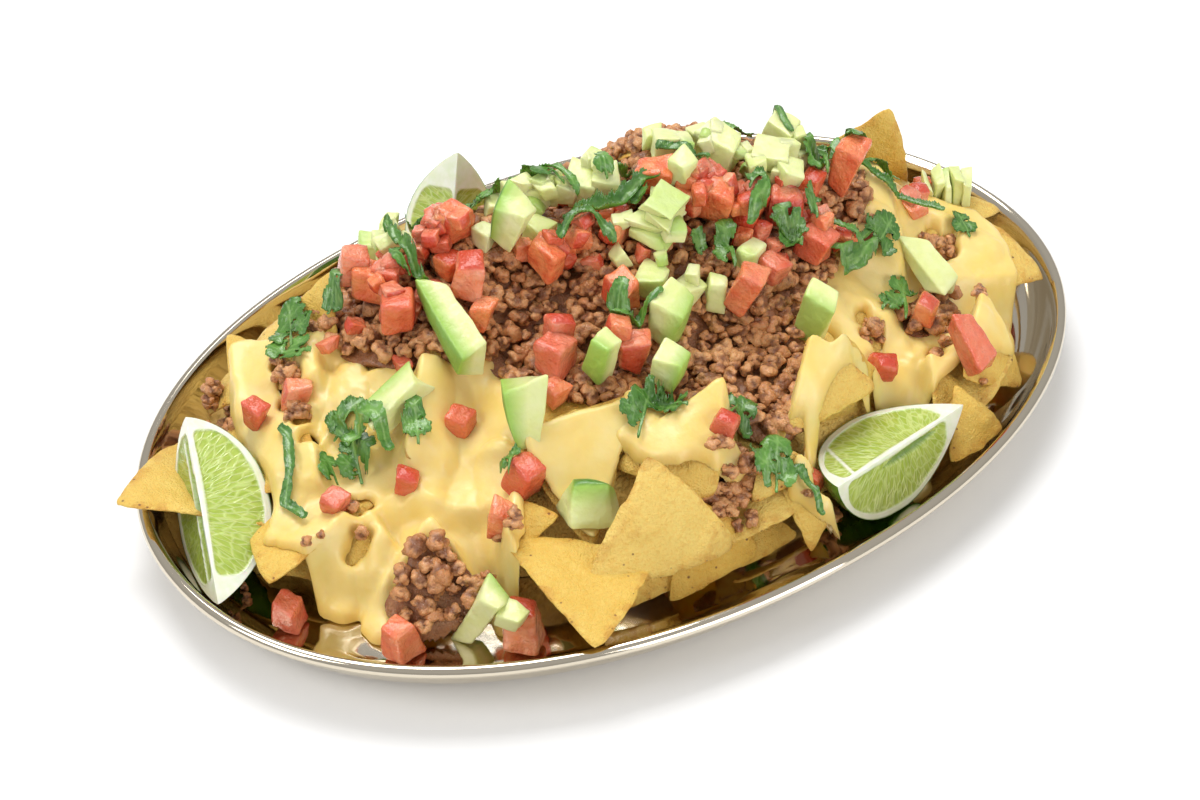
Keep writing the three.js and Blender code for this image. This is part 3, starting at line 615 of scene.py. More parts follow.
placedChips = [  # three corners and the bow
    ([-178, 34, 28], [-132, 0, 17], [-130, 66, 14], 4),
    ([-94, -107, 25], [-56, -87, 25], [-90, -49, 28], 3),
    ([-46, -68, 52], [-82, -82, 24], [-28, -94, 20], 6),
    ([-68, -72, 25], [-28, -44, 51], [-70, -34, 50], -7),
    ([-26, -80, 28], [-4, -58, 54], [-46, -52, 34], 3),
    ([-32, -87, 15], [-1, -94, 21], [-8, -66, 24], 2),
    ([8, -73, 33], [46, -77, 36], [28, -60, 57], 2),
    ([-16, -84, 24], [8, -88, 28], [-2, -76, 42], 2),
    ([104, -44, 24], [152, -55, 19], [144, -22, 33], 4),
    ([104, -24, 34], [156, -28, 32], [138, 4, 36], 3),
    ([79, -82, 26], [108, -86, 11], [110, -58, 38], 3),
    ([62, -97, 8], [88, -97, 10], [76, -82, 26], 2),
    ([96, 30, 42], [141, 6, 26], [130, 10, 72], 3),
    ([60, 66, 38], [14, 62, 42], [36, 50, 70], 3),
    ([-98, 66, 38], [-92, 36, 40], [-78, 52, 68], 3),
    ([-128, 40, 30], [-100, 46, 30], [-110, 78, 40], 2),
    ([-145, -2, 9], [-112, -40, 8], [-112, -8, 27], 3),
    ([-125, -35, 9], [-98, -52, 8], [-100, -30, 27], 2),
    ([-4, -101, 9], [9, -98, 20], [-4, -84, 27], 2),
    ([-88, -60, 26], [-72, -60, 34], [-80, -44, 34], 2),
    ([20, -66, 14], [64, -68, 14], [36, -67, 60], 1),
    ([70, -95, 13], [110, -80, 21], [84, -54, 20], 1),
]
footChips = [  # smaller ones that fill the foot along the front
    ([-52, -88, 5], [-14, -90, 9], [-34, -72, 32], 3),
    ([-26, -88, 4], [2, -90, 5], [-10, -78, 16], 2),
    ([8, -90, 6], [2, -74, 30], [22, -82, 20], 2),
    ([-72, -80, 5], [-44, -86, 8], [-58, -66, 26], 2),
    ([-138, 22, 8], [-142, -6, 16], [-118, 6, 30], 3),
    ([22, -86, 7], [48, -88, 8], [36, -68, 18], 2),
    ([64, -90, 7], [90, -84, 8], [76, -68, 30], 2),
]
chipCourses = [  # count, from, to, reach, lean, seed; these two are also in the frame
    (10, -4, 184, 0.86, 34, 11),
    (2, 30, 84, 0.74, 22, 41),
]
fillerCourses = [
    (26, 0, 346, 0.84, 30, 103),
    (24, 8, 352, 0.74, 24, 207),
    (20, 0, 342, 0.64, 16, 311),
    (14, 20, 340, 0.50, 10, 409),
]
drawnBack = {  # the turns between which the heap's foot draws back, and how far
    "from": 182,
    "full": 206,
    "until": 264,
    "to": 286,
    "depth": 0.18,
}
standingFree = ("lime_left", "lime_right", "tomato_17", "tomato_18", "tomato_19", "avocado_19")


def coreReach(angle):
    turn = np.degrees(angle) % 360
    entered = eased(turn, drawnBack["from"], drawnBack["full"])
    return 1 - drawnBack["depth"] * entered * (1 - eased(turn, drawnBack["until"], drawnBack["to"]))


def nodeBox(node):
    return [np.array(corner) * 1000 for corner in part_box(node)]


def liesInHeap(corners, settings):  # inside the heap's foot, and clear of what stands beside it
    middle = corners.mean(0)
    edges = (corners + np.roll(corners, 1, 0)) / 2
    probes = np.concatenate([corners, edges, (corners + middle) / 2, [middle]])
    x, y, z = probes.T
    u, v = x / heapHalfLength, (y - heapBack) / heapHalfWidth
    reach = (np.abs(u) ** domeSquareness + np.abs(v) ** domeSquareness) ** (1 / domeSquareness)
    limit = np.where(y < 0, settings["frontLimit"], 1.0) * coreReach(np.arctan2(v, u))
    if (reach > limit).any() or (z > heapHeight(x, y) + settings["standOut"]).any():
        return False
    for low, high in map(nodeBox, standingFree):
        if ((probes > low + 3) & (probes < high - 3)).all(1).any():
            return False
    return True


def triangleGrid(rows):
    def place(row, column):
        return row * (row + 1) // 2 + column

    weights, triangles = [], []
    for row in range(rows + 1):
        for column in range(row + 1):
            weights.append(((rows - row) / rows, (row - column) / rows, column / rows))
    for row in range(rows):
        for column in range(row + 1):
            here, opposite = place(row, column), place(row + 1, column + 1)
            triangles.append((here, place(row + 1, column), opposite))
            if column < row:
                triangles.append((here, opposite, place(row, column + 1)))
    rim = [place(step, 0) for step in range(rows)]
    rim += [place(rows, step) for step in range(rows)]
    rim += [place(step, step) for step in range(rows, 0, -1)]
    return np.array(weights), np.array(triangles), np.array(rim)


def addChip(bundle, corners, bow, seed, grid, settings):
    weights, triangles, rim = grid
    corners = np.array(corners, float)
    middle = corners.mean(0)
    normal = unit(np.cross(corners[1] - corners[0], corners[2] - corners[0]))
    reach = np.linalg.norm(corners - middle, axis=1).max()
    top = weights.max(1)  # 1 at a corner
    arm = weights @ corners - middle
    drawnIn = settings["blunt"] * np.clip((top - 0.8) / 0.2, 0, 1) ** 2
    points = middle + arm * (1 + settings["bulge"] * (1 - top) - drawnIn)[:, None]
    inward = 3 * weights.min(1) * reach / 2  # about the distance from the rim
    nearRim = 1 - eased(inward, 0, 2.5)
    fine, coarse = settings["ragged"]
    ragged = fine * valueNoise(points, 2.6, seed) + coarse * valueNoise(points, 8, seed + 1)
    points += unit(arm) * (ragged * nearRim)[:, None]
    blister = np.clip(valueNoise(points, 6.5, seed + 2) - 0.2, 0, 1) * settings["blister"]
    lift = bow * (1 - (np.linalg.norm(arm, axis=1) / reach) ** 2)
    lift += settings["warp"] * valueNoise(points, 22, seed + 3) + 0.5 * blister
    lift += settings["grain"] * valueNoise(points, 2.4, seed + 4)
    points += normal * lift[:, None]
    half = (settings["half"] + 0.35 * blister) * (0.5 + 0.5 * eased(inward, 0, 2.0))
    allPoints, faces, source = closedSheet(points, normal, half, triangles, rim)
    addTo(
        bundle, allPoints, faces,
        edge=(1 - eased(inward, 0, 5))[source],
        blister=np.clip(blister, 0, 1)[source],
        tone=chance(seed + 0.3),
        tip=eased(top, 0.82, 1.0)[source],
    )


def courseChip(course, i, side):
    count, start, end, reach, lean, seed = course
    seed = seed + i * 3
    turn = math.radians(start + (end - start) * i / (count - 1))
    x = heapHalfLength * reach * math.cos(turn)
    y = heapBack + heapHalfWidth * reach * math.sin(turn)
    outward = np.array([math.cos(turn), math.sin(turn), 0])
    facing = heapNormal(x, y)
    facing = unit(facing + (outward - facing) * -math.sin(math.radians(lean)))
    facing = unit(facing + np.array([spread(seed, 0.3), spread(seed + 1, 0.3), 0]))
    across = np.cross([0, 0, 1], outward)
    across = unit(across - facing * (across @ facing))
    rise = np.cross(facing, across)
    spin = spread(seed + 2, 0.5) + (math.pi if i % 2 else 0)
    middle = np.array([x, y, heapHeight(x, y) - 3])
    corners = []
    for corner in range(3):
        angle = spin + corner * 2 * math.pi / 3
        length = side / math.sqrt(3) * (1 + spread(seed + corner, 0.08))
        corners.append(middle + across * length * math.cos(angle) + rise * length * math.sin(angle))
    return corners, 4 + spread(seed + 5, 3), seed


def chipMaterial(colours):
    material, tree = newFood("cornChip", 0.48, (0.06, 0.002, (1.0, 0.5, 0.15)))
    tone = field(tree, "tone")
    colour = mixColour(tree, mottle(tree, 9, 0.9), colours["golden"], colours["deep"])
    colour = tinted(tree, colour, tone, 0, 1, 0.5, colours["pale"])
    colour = tinted(tree, colour, mottle(tree, 1.1, 1.2), 0.35, 1.0, 0.32, colours["grain"])
    toasted = times(tree, field(tree, "blister"), mapped(tree, mottle(tree, 3, 1.3), 0.3, 0.9))
    colour = mixColour(tree, times(tree, toasted, 0.45), colour, colours["toasted"])
    rimTone = times(tree, field(tree, "edge"), mapped(tree, mottle(tree, 5, 1.5), 0.45, 1.0))
    colour = mixColour(tree, times(tree, rimTone, 0.6), colour, colours["toasted"])
    rimSpots = times(tree, specks(tree, 1.7, 0.5, 0.3), mapped(tree, rimTone, 0.2, 0.8))
    colour = mixColour(tree, rimSpots, colour, colours["rimSpot"])
    tipTone = times(tree, field(tree, "tip"), mapped(tree, tone, 0.5, 1.0))
    colour = mixColour(tree, times(tree, tipTone, 0.6), colour, colours["tip"])
    colour = mixColour(tree, specks(tree, 3.4, 0.22, 0.16), colour, colours["spot"])
    grain = mathNode(tree, "ADD", mottle(tree, 0.7, 1.0), mottle(tree, 2.4, 1.0))
    return finishMaterial(material, {"Base Color": colour}, grain, 0.35, 0.8)


def bedMaterial(colours):
    material, tree = newMaterial("chipBed", {"Roughness": 0.6})
    colour = mixColour(tree, mottle(tree, 8, 1.4), colours["bed"], colours["bedShade"])
    return finishMaterial(material, {"Base Color": colour}, mottle(tree, 2.0, 1.5), 0.8, 1.0)


def crumbledBed(settings):  # what the chips lie on
    steps, turns = settings["bedSteps"], settings["bedTurns"]
    reach, front = settings["bedReach"], settings["bedFront"]
    angle = np.arange(turns)[None, :] * 2 * math.pi / turns
    power = 2 / domeSquareness
    c, s = np.cos(angle), np.sin(angle)
    radius = np.linspace(0, reach, steps)[:, None] * coreReach(angle) * np.where(s < 0, front, 1.0)
    x = heapHalfLength * radius * np.sign(c) * np.abs(c) ** power
    y = heapBack + heapHalfWidth * radius * np.sign(s) * np.abs(s) ** power
    coarse, fine = settings["bedLumps"]
    lumps = coarse * flatNoise(x, y, 9, 3) + fine * flatNoise(x, y, 4, 5)
    z = np.maximum(heapHeight(x, y) - settings["bedSink"] + lumps, platterSettings["sheet"] + 0.4)
    z[-1] = platterSettings["sheet"] + 0.3
    bed = newBundle()
    addTo(bed, np.stack([x, y, z], 2).reshape(-1, 3), ringFaces(steps, turns)[:, ::-1])
    return bed


def makeChips(settings):
    material = chipMaterial(settings["colours"])
    fine, coarse = triangleGrid(settings["rows"]), triangleGrid(settings["fillerRows"])
    front, rest, bed = newBundle(), newBundle(), crumbledBed(settings)
    for chips, seed, grid in ((placedChips, 20, fine), (footChips, 220, coarse)):
        for i, (*corners, bow) in enumerate(chips):
            addChip(front, corners, bow, seed + i * 7, grid, settings)
    for course in chipCourses:
        for i in range(course[0]):
            addChip(front, *courseChip(course, i, settings["side"]), fine, settings)
    for course in fillerCourses:
        for i in range(course[0]):
            corners, bow, seed = courseChip(course, i, settings["side"] * settings["fillerScale"])
            corners = np.array(corners)
            corners[:, 2] -= settings["fillerSink"]
            metal = trayTop(corners[:, 0], corners[:, 1]) + settings["overMetal"]
            corners[:, 2] += max(np.max(metal - corners[:, 2]), 0)
            if liesInHeap(corners, settings):
                addChip(rest, corners, bow, seed, coarse, settings)
    for bundle in (front, rest, bed):
        raiseByBundle(bundle)
    makePiece("chipBed", bed, bedMaterial(settings["colours"]), ["nacho_heap"])
    makePiece("frontChips", front, material, ["nacho_heap"])
    makePiece("heapChips", rest, material, ["nacho_heap"])


# lime wedges
limes = {
    "lime_left": {
        "line": ([-166, -10, 14], [-145, 40, 45], [0.56, 0.25, -0.79]),
        "radius": 23,
        "tapers": ("pointed", "blunt"),
        "ends": (9, 4.5),  # how much pith there is at the two tips
        "slit": (-17, 2.6, 20, 2.8, 1.5),  # from, to and half width
        "membranes": [(0, -24, 5.6, 24, 5.0, 0.5)],
        "marked": 0,  # the face with the slit
        "dim": 0.5,  # how much painted shade darkens that face
    },
    "lime_right": {
        "line": ([10, -97, 26.5], [70.5, -92.5, 26.5], [-0.04, 0.55, -0.83]),
        "radius": 24,
        "tapers": ("blunt", "pointed"),
        "ends": (4.5, 9),
        "slit": (-9, 4.2, 17, 3.2, 1.6),
        "membranes": [(0, -22, 0, -15, 22, 0.6)],
        "marked": 1,
        "dim": 0.0,
    },
    "lime_back": {
        "line": ([-32, 61, 25], [-13, 78, 72], [0.43, 0.77, -0.47]),
        "radius": 22.5,
        "tapers": ("blunt", "pointed"),
        "ends": (5, 13),
        "slit": (-10, 3, 6, 3, 0.8),
        "membranes": [],
        "marked": 1,
        "dim": 0.0,
    },
}
limeSettings = {
    "pith": 2.7,
    "core": 1.3,
    "rows": 110,
    "faceSteps": 40,
    "rindSteps": 26,
    "slitDepth": 1.1,
    "sacs": 0.2,
    "skinBump": 0.12,
    "colours": {
        "pulp": (0.33, 0.46, 0.05),
        "paleFlesh": (0.48, 0.59, 0.13),
        "walls": (0.72, 0.82, 0.36),
        # painted shade for a cut face turned away from the light
        "dim": (0.22, 0.28, 0.035),
        "pith": (0.88, 0.91, 0.80),
        "greenPith": (0.80, 0.86, 0.66),
        "rind": (0.045, 0.17, 0.012),
        "brightRind": (0.10, 0.27, 0.025),
        "pores": (0.03, 0.10, 0.01),
        # painted shade in the slit's recess
        "slit": (0.17, 0.30, 0.07),
    },
}
limeTapers = {"pointed": (1.8, 0.85), "blunt": (2.5, 0.62)}


def limeFrame(plan):  # its middle and half length, and the directions along it and to its two cut faces
    foot, tip, back = (np.array(v, float) for v in plan["line"])
    axis = unit(tip - foot)
    back = unit(back - axis * (back @ axis))
    side = np.cross(axis, back)
    return (foot + tip) / 2, np.linalg.norm(tip - foot) / 2, axis, unit(back + side), unit(back - side)


def limeSwell(plan, level):
    sides = []
    for kind in plan["tapers"]:
        inner, outer = limeTapers[kind]
        sides.append(np.maximum(1 - np.abs(level) ** inner, 0) ** outer)
    return plan["radius"] * np.where(level < 0, *sides)


def limeShadow(plan):  # its outline seen from above
    middle, half, axis, alongX, alongZ = limeFrame(plan)
    level = np.linspace(-1, 1, 25)[:, None, None]
    angle = np.linspace(0, math.pi / 2, 9)[None, :, None]
    arm = alongX * np.cos(angle) + alongZ * np.sin(angle)
    points = middle + axis * level * half + arm * limeSwell(plan, level)
    tips = [middle - axis * half, middle + axis * half]
    points = np.concatenate([points.reshape(-1, 3), tips])[:, :2]
    return points[convex_hull_2d([Vector(point) for point in points])]


def limeMaterial(colours):
    material, tree = newFood("limeFlesh", 0.22, (0.25, 0.003, (0.6, 1.0, 0.3)), (0.3, 0.1))
    across = addNode(tree, "ShaderNodeAttribute", attribute_name="across").outputs["Vector"]
    values = {"Vector": across, "Scale": 1.0}
    cells = addNode(tree, "ShaderNodeTexVoronoi", values, feature="DISTANCE_TO_EDGE")
    walls = mapped(tree, cells.outputs["Distance"], 0.0, 0.16, 1.0, 0.0)
    values = {"Vector": across, "Scale": 0.8, "Detail": 2.0}
    cloud = addNode(tree, "ShaderNodeTexNoise", values).outputs["Fac"]
    pulp = mixColour(tree, mapped(tree, cloud, 0.3, 0.7), colours["pulp"], colours["paleFlesh"])
    pulp = mixColour(tree, times(tree, walls, 0.5), pulp, colours["walls"])
    # painted shade: the marked face is darkened as though it were turned from the light
    pulp = mixColour(tree, field(tree, "dim"), pulp, colours["dim"])
    pith = mixColour(tree, mottle(tree, 3, 1.0), colours["pith"], colours["greenPith"])
    rind = mixColour(tree, mottle(tree, 5, 1.2), colours["rind"], colours["brightRind"])
    rind = mixColour(tree, specks(tree, 1.1, 0.8, 0.25), rind, colours["pores"])
    colour = mixColour(tree, field(tree, "pulp"), pith, pulp)
    # the slit is painted darker green: painted shade in its recess
    colour = tinted(tree, colour, field(tree, "slit"), 0, 1, 0.85, colours["slit"])
    colour = mixColour(tree, field(tree, "rind"), colour, rind)
    cloudy = mathNode(tree, "SUBTRACT", cloud, times(tree, walls, 0.4))
    pores = times(tree, specks(tree, 1.1, 0.8, 0.3), field(tree, "rind"))
    height = mathNode(tree, "SUBTRACT", times(tree, cloudy, field(tree, "pulp")), pores)
    return finishMaterial(material, {"Base Color": colour}, height, 0.4, 0.8)


def makeLime(name, plan, settings, material, seed):
    middle, half, axis, alongX, alongZ = limeFrame(plan)
    # one turn round the wedge: out over one face, round the rind, back over the other face
    level = -np.cos(np.linspace(0, math.pi, settings["rows"]))
    u = np.linspace(0, 1, settings["faceSteps"])
    turn = np.linspace(0, math.pi / 2, settings["rindSteps"])[1:-1]
    reach = np.concatenate([u, np.ones(len(turn)), u[:0:-1]])
    angle = np.concatenate([np.zeros(len(u)), turn, np.full(len(u) - 1, math.pi / 2)])
    onRind = np.concatenate([eased(u, 0.97, 0.995), np.ones(len(turn)), eased(u[:0:-1], 0.97, 0.995)])
    isFirst, isLast = (angle < 1e-6)[None, :], (angle > math.pi / 2 - 1e-6)[None, :]
    isMarked = isLast if plan["marked"] else isFirst
    outer = limeSwell(plan, level)[:, None] + 0 * reach[None, :]
    radius = outer * reach[None, :]
    s = (level * half)[:, None] + 0 * radius
    # depth is how far a point lies inside the pulp
    lowEnd, highEnd = plan["ends"]
    endRoom = np.minimum(s + half - lowEnd, half - s - highEnd)
    core = settings["core"] + 0.5 * np.sin(s / (2 * half) * 5 + seed)
    depth = -softMax(-(outer - radius - settings["pith"]), -(radius - core), 1.5)
    depth = -softMax(-depth, -endRoom * 0.8, 2.5)
    for onLast, *line, halfWidth in plan["membranes"]:
        gap = segmentDistance(s, radius, *line) - halfWidth
        depth = np.where(isLast if onLast else isFirst, np.minimum(depth, gap), depth)
    *line, halfWidth = plan["slit"]
    along = np.clip(2 * (s - line[0]) / (line[2] - line[0]) - 1, -1, 1)
    lens = halfWidth * (1 - along**2) - segmentDistance(s, radius, *line)
    slit = eased(lens, -0.2, 0.25) * isMarked
    pulp = eased(depth, -0.3, 0.3) * (1 - onRind[None, :])
    # the sacs fan out from a point behind the core
    fan, distance = np.arctan2(s, radius + 14), np.hypot(s, radius + 14)
    across = stacked(fan * 18, distance * 0.2, 9.0 * seed + 40.0 * isLast + 0 * s)
    sacs = valueNoise(across * np.array([1.0, 1.2, 1.0]), 1.0, seed).reshape(s.shape)
    recess = 0.3 * pulp + settings["sacs"] * sacs * pulp + settings["slitDepth"] * slit
    recess = recess - 0.25 * np.exp(-((depth + 0.1) / 0.35) ** 2)
    recess = recess * (1 - onRind[None, :]) * np.clip(radius / 1.5, 0, 1)
    skin = valueNoise(stacked(s, radius, 7 * angle[None, :] + 0 * s), 1.4, seed + 3)
    out = radius + settings["skinBump"] * skin.reshape(s.shape) * onRind[None, :]
    inX = out * np.cos(angle)[None, :] + recess * isLast
    inZ = out * np.sin(angle)[None, :] + recess * isFirst
    points = middle + s[..., None] * axis + inX[..., None] * alongX + inZ[..., None] * alongZ
    fields = {"pulp": pulp, "rind": onRind[None, :] + 0 * s, "slit": slit}
    # painted shade on the marked face only
    fields["dim"] = plan["dim"] * isMarked + 0 * s
    fields = {label: values.ravel() for label, values in fields.items()}
    bundle = newBundle()
    faces = ringFaces(settings["rows"], len(reach))
    addTo(bundle, points.reshape(-1, 3), faces, across=across, **fields)
    cleanMesh(makePiece(name + "Wedge", bundle, material, [name]), 1e-6)


# cheese sauce
cheeses = {
    "cheese_left": {
        "outline": [
            (-110, 70), (-98, 54), (-88, 38), (-85, 22), (-71, 8), (-56, 1), (-42, -5), (-46, -14),
            (-60, -15), (-70, -28), (-79, -43), (-90, -60), (-98, -64), (-100, -48), (-105, -38),
            (-116, -38), (-126, -46), (-133, -40), (-131, -29), (-138, -25), (-138, -14), (-144, -5),
            (-141, 10), (-134, 20), (-128, 40), (-122, 58),
        ],
        "streams": [  # from, to, half width, added depth
            (-121, -14, -134, -27, 4.5, 1.8), (-116, -26, -127, -40, 5.5, 2.4),
            (-76, -30, -86, -53, 6, 2.2),
            (-86, -53, -96, -64, 4.5, 1.8), (-92, 28, -101, 13, 6, 1.6), (-101, 13, -110, 2, 5, 1.6),
            (-76, 3, -88, -16, 7, 2.2), (-88, -16, -110, -34, 7, 1.8), (-57, 3, -66, -24, 6, 2.0),
            (-121, 32, -134, 0, 6, 1.8), (-98, 44, -108, 26, 5, 1.4),
        ],
        "holes": [  # middle and radius
            (-117, -11, 3.6), (-113, -12, 2.6), (-120, -21, 3.2), (-124, -22, 2.2), (-108, -47, 9),
            (-117, -48, 8), (-106, 46, 4.0), (-108, 39, 3.8), (-110, 32, 3.6), (-113, 25, 3.0),
            (-116, 18, 2.2),
        ],
    },
    "cheese_centre": {
        "outline": [
            (-25, -41), (-9, -47), (3, -56), (-8, -66), (-12, -76), (-23, -77), (-30, -70), (-39, -63),
            (-42, -50),
        ],
    },
    "cheese_front_right": {
        "outline": [
            (28, -58), (46, -56), (50, -69), (45, -75), (30, -77), (17, -85), (11, -82), (14, -74),
            (5, -70), (13, -63),
        ],
    },
    "cheese_right": {
        "outline": [
            (108, 8), (128, -6), (139, -22), (144, -38), (133, -58), (118, -74), (105, -80), (88, -76),
            (70, -78), (54, -73), (52, -62), (57, -50), (47, -36), (40, -31), (46, -25), (62, -22),
            (85, -18), (100, -8),
        ],
        "streams": [  # from, to, half width, added depth
            (98, -20, 118, -52, 6, 1.8), (112, -8, 134, -40, 6, 1.8), (72, -30, 78, -62, 6, 1.8),
            (60, -34, 60, -64, 5, 1.4), (92, -60, 100, -72, 5, 1.2),
        ],
        "holes": [
            (122, -34, 3.6), (120, -27, 2.6), (67, -52, 3.4), (66, -59, 3.0), (68, -45, 2.4),
            (110, -62, 3.4), (84, -66, 3.0),
        ],
    },
    "cheese_back": {
        "outline": [
            (-44, 77), (-20, 73), (12, 71), (44, 67), (62, 65), (70, 73), (54, 82), (42, 95), (29, 90),
            (18, 90), (8, 100), (-3, 91), (-15, 90), (-30, 94), (-40, 86),
        ],
    },
    "lowFront": {
        "outline": [(5, -85), (16, -88), (16, -93), (5, -101), (-3, -92), (-3, -88)],
    },
}
scoopCoat = {  # a smooth coat that follows the hollow chip under it
    "corners": [(-68, -72, 25), (-28, -44, 51), (-70, -34, 50)],
    "bow": -7,
    "seed": 41,
    "scale": 0.92,
    "over": 3.5,
    "sheet": {"half": 1.5, "warp": 1.3, "blister": 0.0},
}
pourSettings = {
    "depth": 2.8,
    "lip": 2.6,  # how wide the rounded rim is
    "wobble": 2.0,
    "drape": 2.5,
    "rivulet": 0.9,
    "bridge": 8.5,  # it spans gaps up to twice this wide
    "streamBlend": 3,
    "holeBlend": 1.5,
    "sink": 0.9,
    "limeGap": 0.6,
    "seed": 60,
    "colours": {"light": (0.87, 0.69, 0.27), "deep": (0.84, 0.61, 0.17), "thin": (0.82, 0.47, 0.07)},
}


def pourCheese(plan, settings, bed, seed):
    loop = smoothLoop(plan["outline"])
    (i0, j0), (i1, j1) = cellsOf(*(loop.min(0) - 12)), cellsOf(*(loop.max(0) + 12))
    part = slice(i0, i1), slice(j0, j1)
    x, y = meshX[part], meshY[part]
    coarse = settings["wobble"]
    wx = x + coarse * flatNoise(x, y, 9, seed) + 0.5 * coarse * flatNoise(x, y, 4, seed + 1)
    wy = y + coarse * flatNoise(x, y, 9, seed + 2) + 0.5 * coarse * flatNoise(x, y, 4, seed + 3)
    depth = insideDistance(wx, wy, loop)
    streams = []
    for *ends, radius, extra in plan.get("streams", []):
        streams.append((segmentDistance(wx, wy, *ends), radius, extra))
    for away, radius, _ in streams:
        depth = softMax(depth, radius - away, settings["streamBlend"])
    for hx, hy, radius in plan.get("holes", []):
        depth = -softMax(-depth, radius - np.hypot(wx - hx, wy - hy), settings["holeBlend"])
    for lime in limes.values():
        depth = np.minimum(depth, -insideDistance(x, y, limeShadow(lime)) - settings["limeGap"])
    rise = np.clip(depth / settings["lip"], 0, 1)
    dome = np.sqrt(np.maximum(1 - (1 - rise) ** 2, 0))
    thick = settings["depth"] * (1 + 0.3 * flatNoise(x, y, 13, seed + 4))
    downhill = stacked(np.arctan2(y, x / 1.5) * 9, np.hypot(x / 1.5, y) / 22, 0 * x)
    thick = thick + settings["rivulet"] * valueNoise(downhill, 1.0, seed + 6).reshape(x.shape)
    for away, radius, extra in streams:
        thick = thick + extra * np.clip(1 - (away / radius) ** 2, 0, 1)
    top = bed[part] + thick * dome
    bottom = bed[part] - settings["sink"] * rise - 0.05
    bundle = newBundle()
    addGridSolid(bundle, x, y, top, bottom, depth, cell, {"thin": 1 - rise})
    return bundle, part, np.where(depth > 0, top, -1)


def coatChip(plan):
    corners = np.array(plan["corners"], float)
    middle = corners.mean(0)
    normal = unit(np.cross(corners[1] - corners[0], corners[2] - corners[0]))
    bow = plan["bow"] * plan["scale"] ** 2
    corners = middle + (corners - middle) * plan["scale"] + normal * (plan["bow"] - bow + plan["over"])
    coat = newBundle()
    addChip(coat, corners, bow, plan["seed"], triangleGrid(28), {**chipSettings, **plan["sheet"]})
    return coat


def cheeseMaterial(colours):
    material, tree = newFood("cheeseSauce", 0.4, (0.3, 0.003, (1.0, 0.55, 0.12)), (0.06, 0.25))
    colour = mixColour(tree, mottle(tree, 14, 1.0), colours["light"], colours["deep"])
    colour = tinted(tree, colour, field(tree, "thin"), 0.3, 1.0, 0.45, colours["thin"])
    roughness = mapped(tree, mottle(tree, 6, 1.2), 0, 1, 0.3, 0.46)
    links = {"Base Color": colour, "Roughness": roughness}
    return finishMaterial(material, links, mottle(tree, 5, 1.0), 0.25, 0.5)


def makeCheese(settings):
    material = cheeseMaterial(settings["colours"])
    reach = int(settings["bridge"] / cell)
    bridged = slid(slid(ground, reach, np.maximum), reach, np.minimum)
    drape = 0.75 * blurred(bridged, settings["drape"] / cell) + 0.25 * blurred(ground, 1.0)
    bed = blurred(np.maximum(ground + 0.3, drape), 1.2)
    coat = coatChip(scoopCoat)
    raiseByBundle(coat)
    makePiece("scoopCheese", coat, material, [])
    raised = []
    for k, (name, plan) in enumerate(cheeses.items()):
        bundle, *layer = pourCheese(plan, settings, bed, settings["seed"] + k * 5)
        ending, nodes = ("Sauce", [name]) if name.startswith("cheese") else ("Cheese", [])
        makePiece(name + ending, bundle, material, nodes)
        raised.append(layer)
    for part, top in raised:
        ground[part] = np.maximum(ground[part], top)


# ground beef
beefOutline = [
    (-84, 22), (-70, 8), (-56, 2), (-54, -15), (-47, -29), (-32, -40), (-20, -45), (-5, -54), (2, -67),
    (16, -71), (34, -62), (40, -46), (50, -32), (68, -28), (92, -22), (104, 0), (102, 26), (84, 50),
    (50, 66), (12, 72), (-34, 74), (-72, 70), (-92, 48),
]
beefPatches = [
    [(-107, -36), (-117, -40), (-125, -42), (-121, -52), (-109, -58), (-102, -58), (-103, -46)],
    [(-26, -72), (-16, -67), (-7, -70), (-10, -78), (-18, -80), (-27, -78)],
    [(102, -44), (111, -48), (108, -59), (94, -64), (82, -55), (88, -46)],
    [(-134, 62), (-122, 72), (-108, 60), (-112, 46), (-122, 44), (-130, 50)],
]
beefSettings = {
    "cell": 1.2,
    "area": (-142, 122, -96, 84),  # the grid's west, east, south and north
    "split": 1,  # where the left half ends
    "limeGap": 1.5,
    "relief": 1.4,
    "depth": 1.2,
    "wobble": 1.6,
    "slope": 5,  # how wide its sloping edge is
    "nearHeap": 2,  # how far the bed may leave the heap's own height
    "spacing": 4.4,  # between crumbles, measured along the slope
    "darts": 30000,
    "crumble": (3.0, 5.2),
    "piles": [  # x, y, reach, count
        (-18, -80, 8, 24), (-129, 62, 5, 7), (-125, 67, 4, 6), (-108, 38, 3, 5), (-111, 27, 2.5, 4),
        (-106, 46, 3, 3), (121, -32, 4, 12), (117, -28, 2.5, 7), (-134, 57, 4, 5), (67, -52, 3, 8),
        (84, -66, 3, 3), (110, -62, 3, 3), (-88, -55, 4, 4), (14, -90, 4, 5),
    ],
    "pileHeight": 3.5,  # how high one may rise
    "pileCrumble": (2.4, 4.0),
    "pileReach": (163, 108),  # half axes of the oval that the piles stay inside
    "loose": [  # small bits beside the heap and down in the cheese's holes
        (-153, -2, 2.2), (-137, -17, 2.6), (-132, -17, 1.8), (-105, -54, 2.4), (-109, -58, 1.7),
        (-100, -61, 2.0), (0, -94, 2.3), (88, -85, 2.2), (-117, -11, 3.4), (-120, -21, 3.0),
        (-151, 3, 1.8), (-97, -56, 2.6),
    ],
    "kinds": 16,
    "granules": (20, 28),
    "granuleOut": (0.5, 0.72),
    "granuleSize": (0.22, 0.36),
    "shape": (1.35, 0.9, 0.75),  # a crumble's length, width and height
    "flattened": 0.8,
    "colours": {
        "dark": (0.58, 0.25, 0.09),
        "light": (0.76, 0.39, 0.16),
        "patches": (0.42, 0.155, 0.055),
        # painted shade for the creases between granules and the low base layer
        "hollows": (0.17, 0.052, 0.02),
    },
}


